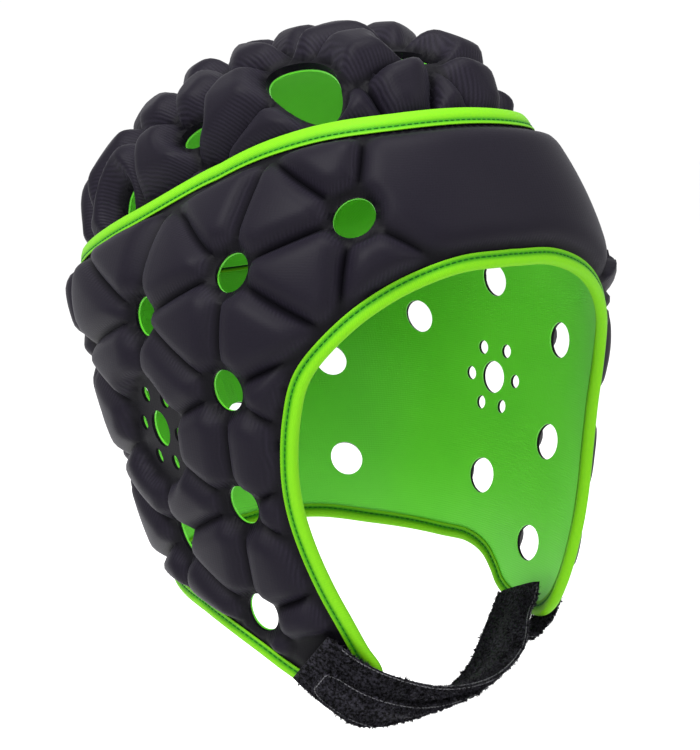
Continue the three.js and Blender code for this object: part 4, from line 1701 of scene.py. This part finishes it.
@dataclass
class Binding:
    """Lime tape folded over the band's edges, with one stitched line on each flange."""

    shop: Workshop
    edges: Edges
    top_flange: float = 6.6
    lower_flange: float = 4.4
    tape_thick: float = 0.6
    sink: float = 1.3
    over: float = 0.25
    slack: float = 0.2
    nose: float = 1.3
    nose_steps: int = 13
    nose_round: tuple[float, float] = (0.8, 0.9)
    shoulder: float = 0.8
    fold: float = 0.2
    hem_press: float = 0.25
    crease: float = 60.0
    top_steps: int = 420
    lower_steps: int = 760
    stitch_in: float = 1.7
    left_meeting: float = 66.0
    stitch_pitch: float = 2.3
    stitch_length: float = 2.1
    stitch_radius: float = 0.24
    groove: float = 0.35
    groove_half: float = 1.2
    groove_fall: float = 1.5
    puff: float = 0.3
    puff_reach: float = 0.8

    @property
    def lifts(self) -> tuple[float, float]:
        """Heights over the form of the tape's two inner faces."""
        w = self.shop.walls
        return self.over - self.sink, -w.shell - w.gap - w.lining_cloth - self.slack

    def flange(self, rim: Rim) -> float:
        """Width of a tape's flanges."""
        return self.top_flange if rim is Rim.CROWN else self.lower_flange

    def section(self, rim: Rim) -> tuple[np.ndarray, np.ndarray]:
        """A tape's section and how far each of its points is sunk by the stitches.

        Args:
            rim: Which edge it binds.

        Returns:
            Section points as out and lift, and a share from 0 to 1.
        """
        upper, under = self.lifts
        flange = self.flange(rim)
        high, low = upper + self.tape_thick, under - self.tape_thick
        stitch = self.stitch_in - flange
        near, far = stitch - self.groove_half, stitch + self.groove_half
        groove = [near, (near + stitch) / 2, stitch, (stitch + far) / 2, far]
        flat = np.array([-flange, *groove, (far - self.shoulder) / 2, -self.shoulder])
        sunk = np.exp(-(((flat - stitch) / self.groove_half) ** 2) * self.groove_fall)
        swell = self.puff * np.sin(np.clip((flat - stitch) / -stitch, 0, 1) * math.pi * self.puff_reach)
        rise = swell - self.groove * sunk
        rise[0] -= self.hem_press
        a = np.linspace(math.pi / 2, -math.pi / 2, self.nose_steps)[1:-1]
        bulge, fall = self.nose_round
        nose_out = -self.shoulder + (self.nose + self.shoulder) * np.cos(a) ** bulge
        half = (high - low + 2 * rise[-1]) / 2
        nose_lift = (high + low) / 2 + half * np.sign(np.sin(a)) * np.abs(np.sin(a)) ** fall
        points = [*zip(flat, high + rise), *zip(nose_out, nose_lift)]
        points += zip(flat[::-1], low - rise[::-1])
        points += [(-flange, under), (self.fold, under), (self.fold, upper), (-flange, upper)]
        share = [*sunk, *np.zeros(len(a)), *sunk[::-1], 0, 0, 0, 0]
        return np.array(points), np.array(share)

    def frames(self, line: np.ndarray, outward: float) -> Frames:
        """Places, ways across and normals along an edge that comes back to its start.

        Args:
            line: The edge as turn and distance along.
            outward: 1 or -1, to turn across off the band.

        Returns:
            Centres, across and normals.
        """
        form = self.shop.form
        centres = form.wall(line[:, 0], line[:, 1])
        run = np.roll(centres[:-1], -1, axis=0) - np.roll(centres[:-1], 1, axis=0)
        run = np.vstack([run, run[:1]])
        normals = form.normal(line[:, 0], line[:, 1])
        return centres, unit(np.cross(run, normals)) * outward, normals

    def runs(self) -> dict[Rim, Frames]:
        """Frames of the three tapes: the crown's closed one, and two that meet at the cheek tips.

        Returns:
            The frames of each tape.
        """
        form = self.shop.form
        top = self.edges.top_line(self.top_steps)
        lower = self.edges.lower_line(form, self.lower_steps)
        frames = self.frames(lower, 1)
        half = int(np.argmin(np.abs(lower[:, 0])))
        first = int(np.argmin(frames[0][:half, 2]))
        last = half + int(np.argmin(np.abs(lower[half:, 0] - self.left_meeting)))
        face = slice(first + 1, last)
        nape = np.r_[last + 1 : len(lower) - 1, 0:first]
        return {
            Rim.CROWN: self.frames(top, -1),
            Rim.FACE: tuple(part[face] for part in frames),
            Rim.NAPE: tuple(part[nape] for part in frames),
        }

    def tape(self, rim: Rim, frames: Frames) -> bpy.types.Object:
        """One folded tape.

        Args:
            rim: Which edge it binds.
            frames: Places along the edge, ways off the band and ways off the head.

        Returns:
            The tape.
        """
        section, sunk = self.section(rim)
        points, faces = swept(*frames, np.broadcast_to(section, (len(frames[0]), *section.shape)))
        if rim is Rim.CROWN:
            points, faces = join_ends(points, faces, len(section))
        count = len(points) // len(section)
        run = np.repeat(run_along(frames[0])[:count], len(section))
        # The third number, how far the section is sunk into its stitched line, also sets the painted
        # shade there
        cloth = np.stack([run, np.tile(run_along(section), count), np.tile(sunk, count)], axis=1)
        made = self.shop.piece(f"{rim.value}_tape", points, faces_out(points, faces), self.crease)
        self.shop.note(made, "cloth", cloth)
        return self.shop.place(made, BindingTape(), "binding_tape", rim.value)

    def sewn(self, rim: Rim, frames: Frames) -> bpy.types.Object:
        """The stitched lines on both flanges of a tape.

        Args:
            rim: Which edge it binds.
            frames: Places along the edge, ways off the band and ways off the head.

        Returns:
            The stitches as one piece.
        """
        centres, across, normals = frames
        out = self.stitch_in - self.flange(rim)
        deep = self.tape_thick - self.groove
        rows = []
        for lift, side in ((self.lifts[0] + deep, 1), (self.lifts[1] - deep, -1)):
            line = centres + across * out + normals * lift
            count = int(run_along(line)[-1] / self.stitch_pitch)
            spots = even_steps(np.hstack([line, normals * side]), count + 1, line)
            middles = (spots[1:, :3] + spots[:-1, :3]) / 2
            ways = unit(spots[1:, :3] - spots[:-1, :3])
            ups = unit(spots[1:, 3:] + spots[:-1, 3:])
            rows.append(stitches(middles, ways, ups, self.stitch_length, self.stitch_radius))
        points, faces = joined(rows)
        made = self.shop.piece(f"{rim.value}_stitches", points, faces_out(points, faces))
        return self.shop.place(made, SewingThread("binding_thread"), "binding_tape")

    def build(self) -> list[bpy.types.Object]:
        """All the tapes and their stitches.

        Returns:
            The pieces.
        """
        made = []
        for rim, frames in self.runs().items():
            made += [self.tape(rim, frames), self.sewn(rim, frames)]
        return made


# Chin strap: two straps that lap on the right cheek


@dataclass(frozen=True)
class Station:
    """A place of a strap on a cheek: turn, distance along and lift off the wall."""

    turn: float
    along: float
    lift: float

    def place(self, form: HeadForm) -> tuple[np.ndarray, np.ndarray]:
        """The place and the way the outer face looks."""
        place = form.lifted(self.turn, self.along, self.lift)
        return place, form.normal(self.turn, self.along)


@dataclass(frozen=True)
class Hung:
    """A place of a strap that hangs free, with the way its outer face looks."""

    x: float
    y: float
    z: float
    look: tuple[float, float, float]

    def place(self, form: HeadForm) -> tuple[np.ndarray, np.ndarray]:
        """The place and the way the outer face looks."""
        return np.array([self.x, self.y, self.z]), np.array(self.look)


@dataclass(frozen=True)
class Lap:
    """Where the hook strap lies over the loop strap: share of its length, lift and sideways slide."""

    share: float
    out: float
    slide: float


@dataclass
class StrapLine:
    """Centre line of a strap and the way it faces."""

    centres: np.ndarray
    looks: np.ndarray
    curve_steps: int = 60
    fine: np.ndarray = field(init=False)
    fine_looks: np.ndarray = field(init=False)
    run: np.ndarray = field(init=False)

    def __post_init__(self) -> None:
        """Draws the line through its stations."""
        self.fine = dense_curve(self.centres, self.curve_steps, Knots.CENTRIPETAL)
        self.fine_looks = dense_curve(self.looks, self.curve_steps, Knots.EVEN)
        self.run = run_along(self.fine)

    @property
    def length(self) -> float:
        """Length of the strap."""
        return float(self.run[-1])

    def frames(self, shares: np.ndarray) -> Frames:
        """Places, ways across and normals at shares of the length.

        Args:
            shares: Shares of the length.

        Returns:
            Centres, across and normals.
        """
        at = np.asarray(shares) * self.length

        def sample(values: np.ndarray) -> np.ndarray:
            """Values at those distances."""
            return np.stack([np.interp(at, self.run, values[:, k]) for k in range(3)], axis=1)

        tangents = unit(sample(np.gradient(self.fine, axis=0)))
        looks = sample(self.fine_looks)
        normals = unit(looks - tangents * np.einsum("ij,ij->i", looks, tangents)[:, None])
        return sample(self.fine), unit(np.cross(normals, tangents)), normals


@dataclass
class ChinStrap:
    """Loop-pile chin strap: a wide strap from the right cheek and a narrow one lapped over it."""

    shop: Workshop
    thick: float = 2.2
    loop_width: float = 25.5
    hook_width: float = 13.0
    end_round: float = 7.0
    end_width: float = 0.35
    end_shares: float = 0.12
    steps: int = 150
    rows: int = 9
    crease: float = 70.0
    crest_power: int = 8
    crest_flat: float = 0.75
    pile_count: int = 18000
    pile_long: float = 1.5
    pile_thick: float = 0.24
    pile_ends: tuple[float, float] = (0.012, 0.988)
    pile_edge: float = 0.5
    pile_wrap: int = 6
    pile_sink: tuple[float, float] = (0.97, 0.9)
    pile_fuzz: float = 0.5
    tuft: float = 1.3
    tuft_sway: float = 0.7
    tuft_tall: tuple[float, float] = (0.4, 1.3)
    fibre_sway: float = 0.35
    fibre_tall: tuple[float, float] = (0.6, 1.0)
    thread_inset: float = 0.5
    thread_pitch: float = 1.5
    thread_fill: float = 0.95
    thread_radius: float = 0.2
    thread_lift: float = 0.05
    thread_light: Colour = (0.085, 0.085, 0.092, 1)
    thread_deep: Colour = (0.030, 0.030, 0.033, 1)
    loop_seam: tuple[float, float] = (0.05, 0.985)
    loop_seam_points: int = 90
    hook_seam: tuple[float, float] = (0.006, 0.985)
    hook_seam_points: int = 160
    hook_seam_crowd: float = 1.5
    seed: int = 7

    @property
    def over(self) -> float:
        """Lift of a strap that lies on a cheek's tape."""
        w = self.shop.walls
        return w.over + w.tape + w.gap + self.thick / 2

    def loop_line(self) -> StrapLine:
        """Line of the wide strap.

        Returns:
            The line.
        """
        stations = (
            Station(-54, -73.5, self.over),
            Station(-45.7, -82, self.over + 0.8),
            Station(-37.2, -87.7, self.over + 1.6),
            Hung(-23, -67.5, -92, (-0.16, -0.6, -0.78)),
            Hung(0, -63.5, -93.5, (0, -0.46, -0.89)),
            Hung(21, -54.5, -90.5, (0.24, -0.38, -0.9)),
            Hung(36, -42.5, -85.5, (0.5, -0.36, -0.78)),
            Hung(48.7, -33, -81.9, (0.69, -0.24, -0.75)),
            Hung(55, -29.9, -75.4, (1, -0.07, -0.19)),
        )
        placed = [s.place(self.shop.form) for s in stations]
        return StrapLine(np.array([p for p, _ in placed]), np.array([n for _, n in placed]))

    def hook_line(self, loop: StrapLine) -> StrapLine:
        """Line of the narrow strap, over the wide one and on to the left cheek.

        Args:
            loop: Line of the wide strap.

        Returns:
            The line.
        """
        laps = (
            Lap(0.05, 0.7, -2.5), Lap(0.1, 0.7, -2.5), Lap(0.16, 0.7, -2.5), Lap(0.22, 0.7, -2.5),
            Lap(0.3, 0.7, -3.5), Lap(0.4, 0.7, -4), Lap(0.5, 0.8, -3), Lap(0.6, 0.8, -2),
            Lap(0.7, 0.9, -0.5), Lap(0.77, 1.1, 0.5),
        )
        centres, across, normals = loop.frames(np.array([lap.share for lap in laps]))
        out = np.array([[self.thick + lap.out] for lap in laps])
        slide = np.array([[lap.slide] for lap in laps])
        ends = (
            Hung(53, -36.5, -93, (0.45, -0.15, -0.88)),
            Station(66, -84, self.over + 0.8),
            Station(68, -76.5, self.over),
        )
        placed = [s.place(self.shop.form) for s in ends]
        places = np.vstack([centres + normals * out + across * slide, *[p for p, _ in placed]])
        return StrapLine(places, np.vstack([normals, *[n for _, n in placed]]))

    def ribbon(self, widths: np.ndarray) -> np.ndarray:
        """Rounded flat sections, one for each width.

        Args:
            widths: The strap's widths.

        Returns:
            Section points as out and lift.
        """
        x = np.linspace(-1, 1, self.rows)
        edge = self.crest(x)
        top = np.stack([x, edge], axis=1)
        low = np.stack([x[::-1], -edge[::-1]], axis=1)
        unit_section = np.vstack([top, low[1:-1]])
        out = unit_section[None, :, :1] * widths[:, None, None] / 2
        return np.concatenate([out, np.broadcast_to(unit_section[None, :, 1:], out.shape)], axis=2)

    def strap(
        self, name: str, node: str, line: StrapLine, widths: np.ndarray, shares: np.ndarray
    ) -> bpy.types.Object:
        """One strap.

        Args:
            name: The piece's name.
            node: The CAD node that it stands for.
            line: Its centre line.
            widths: Its width at each share.
            shares: Places along its length.

        Returns:
            The strap.
        """
        points, faces = swept(*line.frames(shares), self.ribbon(widths))
        made = self.shop.piece(name, points, faces_out(points, faces), self.crease)
        return self.shop.place(made, LoopPile(), "strap_pile", node)

    def pile(
        self, name: str, line: StrapLine, width: float, draw: np.random.Generator
    ) -> bpy.types.Object:
        """Loose fibres over a strap.

        Args:
            name: The piece's name.
            line: The strap's centre line.
            width: Its width.
            draw: Source of the fibres' places.

        Returns:
            The fibres as one piece.
        """
        count = self.pile_count
        shares = draw.uniform(*self.pile_ends, count)
        centres, across, normals = line.frames(shares)
        out = draw.uniform(-1, 1, count)
        out = np.sign(out) * np.abs(out) ** self.pile_edge
        side = np.where(draw.uniform(size=count) < 0.5, 1.0, -1.0)[:, None]
        edge = np.abs(out)[:, None] ** self.pile_wrap
        ways = unit(normals * side * (1 - edge) + across * np.sign(out)[:, None] * edge)
        inward, deep = self.pile_sink
        roots = centres + across * (out * width / 2 * inward)[:, None]
        roots = roots + normals * side * self.thick / 2 * (1 - edge) * deep
        cells = np.stack([shares * line.length, out * width / 2, side[:, 0] * self.tuft], axis=1)
        kinds, tuft = np.unique(np.floor(cells / self.tuft), axis=0, return_inverse=True)
        tuft = tuft.reshape(-1)
        sway = draw.normal(0, self.tuft_sway, (len(kinds), 3))[tuft]
        sway = sway + draw.normal(0, self.fibre_sway, (count, 3))
        tall = draw.uniform(*self.tuft_tall, (len(kinds), 1))[tuft] * (1 + self.pile_fuzz * edge)
        lean = unit(ways + sway)
        tips = roots + lean * (self.pile_long * tall * draw.uniform(*self.fibre_tall, (count, 1)))
        first = unit(np.cross(lean, across))
        second = np.cross(lean, first)
        corners = [
            roots + (first * math.cos(a) + second * math.sin(a)) * self.pile_thick
            for a in (0, 2 * math.pi / 3, 4 * math.pi / 3)
        ]
        points = np.stack([*corners, tips], axis=1).reshape(-1, 3)
        start = np.arange(count)[:, None] * 4
        sides = np.array([(0, 2, 1), (0, 1, 3), (1, 2, 3), (2, 0, 3)])
        faces = np.vstack([start + corners for corners in sides]).tolist()
        made = self.shop.piece(name, points, faces_out(points, faces))
        return self.shop.place(made, LoopPile("pile_fibre"), "strap_pile")

    def crest(self, x: np.ndarray) -> np.ndarray:
        """Half the strap's thickness at a share of its half width."""
        flat = np.sqrt(np.maximum(1 - np.abs(x) ** self.crest_power, 0.0))
        return (flat * self.crest_flat + (1 - self.crest_flat) * (1 - x**2)) * self.thick / 2

    def hook_widths(self, shares: np.ndarray, length: float) -> np.ndarray:
        """Width of the narrow strap, with its rounded free end.

        Args:
            shares: Places along its length.
            length: Its length.

        Returns:
            The width at each place.
        """
        near = np.minimum(shares * length / self.end_round, 1)
        bow = np.sqrt(1 - (1 - near) ** 2)
        return self.hook_width * (self.end_width + (1 - self.end_width) * bow)

    def threads(
        self, name: str, line: StrapLine, width: float, seams: Sequence[tuple]
    ) -> bpy.types.Object:
        """Pale stitched lines along a strap's edges.

        Args:
            name: The piece's name.
            line: The strap's centre line.
            width: Its width.
            seams: Each seam as shares along the strap, distances across it, and its face as 1 or -1.

        Returns:
            The stitches as one piece.
        """
        length = self.thread_pitch * self.thread_fill
        rows = []
        for shares, out, side in seams:
            centres, across, _ = line.frames(shares)
            spots = centres + across * out[:, None]
            count = int(run_along(spots)[-1] / self.thread_pitch)
            course = even_steps(np.stack([shares, out], axis=1), count, spots)
            centres, across, normals = line.frames(course[:, 0])
            lift = self.crest(course[:, 1] / (width / 2)) + self.thread_lift
            spots = centres + across * course[:, 1:] + normals * side * lift[:, None]
            runs = unit(np.gradient(spots, axis=0))
            rows.append(stitches(spots, runs, normals * side, length, self.thread_radius))
        points, faces = joined(rows)
        made = self.shop.piece(name, points, faces_out(points, faces))
        finish = SewingThread("strap_thread", self.thread_light, self.thread_deep)
        return self.shop.place(made, finish, "strap_pile")

    def loop_seams(self) -> list[tuple]:
        """Seams along both edges of the wide strap.

        Returns:
            Shares, distances across and face of each seam.
        """
        shares = np.linspace(*self.loop_seam, self.loop_seam_points)
        reach = np.full(len(shares), self.loop_width / 2 - self.thread_inset)
        return [(shares, reach * edge, side) for edge, side in ((1, 1), (1, -1), (-1, -1))]

    def hook_seams(self, length: float) -> list[tuple]:
        """One seam along the narrow strap's edges and round its free end.

        Args:
            length: The strap's length.

        Returns:
            Shares, distances across and face of the seam.
        """
        start, end = self.hook_seam
        steps = np.linspace(0, 1, self.hook_seam_points) ** self.hook_seam_crowd
        shares = start + (end - start) * steps
        reach = self.hook_widths(shares, length) / 2 - self.thread_inset
        return [(np.r_[shares[::-1], shares], np.r_[reach[::-1], -reach], 1)]

    def build(self) -> list[bpy.types.Object]:
        """Both straps, their stitching and their pile.

        Returns:
            The pieces.
        """
        draw = np.random.default_rng(self.seed)
        loop = self.loop_line()
        hook = self.hook_line(loop)
        shares = np.linspace(0, 1, self.steps)
        crowded = shares**2 / (2 * self.end_shares) + shares / 2
        eased = np.where(shares < self.end_shares, crowded, shares)
        tapered = self.hook_widths(eased, hook.length)
        full = np.full(self.steps, self.loop_width)
        return [
            self.strap("loop_strap_pile", "loop_strap", loop, full, shares),
            self.strap("hook_strap_pile", "hook_strap", hook, tapered, eased),
            self.threads("loop_strap_threads", loop, self.loop_width, self.loop_seams()),
            self.threads("hook_strap_threads", hook, self.hook_width, self.hook_seams(hook.length)),
            self.pile("loop_strap_fibres", loop, self.loop_width, draw),
            self.pile("hook_strap_fibres", hook, self.hook_width, draw),
        ]


# Studio: floor, light and camera


@dataclass(frozen=True)
class Lamp:
    """A soft area light: direction in degrees, distance and size in metres, power in watts."""

    name: str
    azimuth: float
    elevation: float
    distance: float
    size: float
    power: float


@dataclass
class Studio:
    """Plain pale floor, soft light and the camera."""

    shop: Workshop
    azimuth: float = -35.45
    elevation: float = 10.32
    roll: float = -0.47
    distance: float = 607.92
    focal: float = 1572.92
    aim_right: float = -5.04
    aim_up: float = 12.44
    floor_drop: float = 0.16
    floor_size: float = 12.0
    light_aim: tuple[float, float, float] = (0.0, 10.0, 20.0)
    sky: float = 1.03
    lamps: tuple[Lamp, ...] = (
        Lamp("key", -80, 45, 1.1, 0.6, 18),
        Lamp("fill", 25, 25, 1.2, 0.8, 7),
        Lamp("top", -20, 80, 1.0, 0.6, 10),
        Lamp("front", -38, 8, 1.4, 0.5, 5),
    )

    def direction(self, azimuth: float, elevation: float) -> np.ndarray:
        """Unit vector from the object, with azimuth 0 ahead of the face."""
        a, e = math.radians(azimuth), math.radians(elevation)
        return np.array([math.sin(a) * math.cos(e), -math.cos(a) * math.cos(e), math.sin(e)])

    def build_floor(self) -> bpy.types.Object:
        """A wide pale floor below the strap.

        Returns:
            The floor.
        """
        low = min(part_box(n)[0].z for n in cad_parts) - self.floor_drop
        h = self.floor_size / 2
        mesh = bpy.data.meshes.new("studio_floor")
        mesh.from_pydata([(-h, -h, low), (h, -h, low), (h, h, low), (-h, h, low)], [], [(0, 1, 2, 3)])
        mesh.materials.append(PaleFloor().material())
        floor = bpy.data.objects.new("studio_floor", mesh)
        bpy.context.scene.collection.objects.link(floor)
        return floor

    def build_lights(self) -> None:
        """Area lights aimed at the object, and a pale surround."""
        scene = bpy.context.scene
        middle = Vector(self.shop.to_row(np.array(self.light_aim)))
        for lamp in self.lamps:
            light = bpy.data.lights.new(lamp.name, "AREA")
            light.energy = lamp.power
            light.size = lamp.size
            made = bpy.data.objects.new(lamp.name, light)
            made.location = middle + Vector(self.direction(lamp.azimuth, lamp.elevation)) * lamp.distance
            made.rotation_euler = (made.location - middle).to_track_quat("Z", "Y").to_euler()
            scene.collection.objects.link(made)
        world = bpy.data.worlds.new("studio_surround")
        world.use_nodes = True
        back = world.node_tree.nodes["Background"]
        back.inputs["Color"].default_value = (1, 1, 1, 1)
        back.inputs["Strength"].default_value = self.sky
        scene.world = world
        scene.view_settings.view_transform = "Standard"

    def build_camera(self) -> bpy.types.Object:
        """The camera at the photograph's angle.

        Returns:
            The camera.
        """
        back = Vector(self.direction(self.azimuth, self.elevation))
        turn = math.radians(self.azimuth)
        right = Vector((math.cos(turn), math.sin(turn), 0))
        up = back.cross(right)
        lean = math.radians(self.roll)
        across = right * math.cos(lean) + up * math.sin(lean)
        upward = up * math.cos(lean) - right * math.sin(lean)
        ear = Vector(self.shop.to_row(np.zeros(3)))
        place = ear + (across * self.aim_right + upward * self.aim_up + back * self.distance) * MM
        lens = bpy.data.cameras.new("camera")
        lens.sensor_width = SENSOR
        lens.lens = self.focal / IMAGE_HEIGHT * SENSOR
        camera = bpy.data.objects.new("camera", lens)
        turned = Matrix((across, upward, back)).transposed().to_4x4()
        camera.matrix_world = Matrix.Translation(place) @ turned
        bpy.context.scene.collection.objects.link(camera)
        bpy.context.scene.camera = camera
        return camera


def main() -> None:
    """Builds every piece in order, then the studio."""
    logging.basicConfig(level=logging.INFO, format="%(name)s %(message)s")
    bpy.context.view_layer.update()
    shop = Workshop(HeadForm(), Walls())
    edges = Edges()
    studio = Studio(shop)
    studio.build_camera()
    band = Band(shop, edges)
    pieces = [band.build_shell(), band.build_lining()]
    crown = Crown(shop, edges)
    pieces += [crown.build_shell(), crown.build_lining()]
    pieces += Binding(shop, edges).build()
    pieces += ChinStrap(shop).build()
    studio.build_floor()
    studio.build_lights()
    for piece in pieces:
        mesh = piece.data
        LOG.info("%s: %d points, %d faces", piece.name, len(mesh.vertices), len(mesh.polygons))


if __name__ == "__main__":
    main()
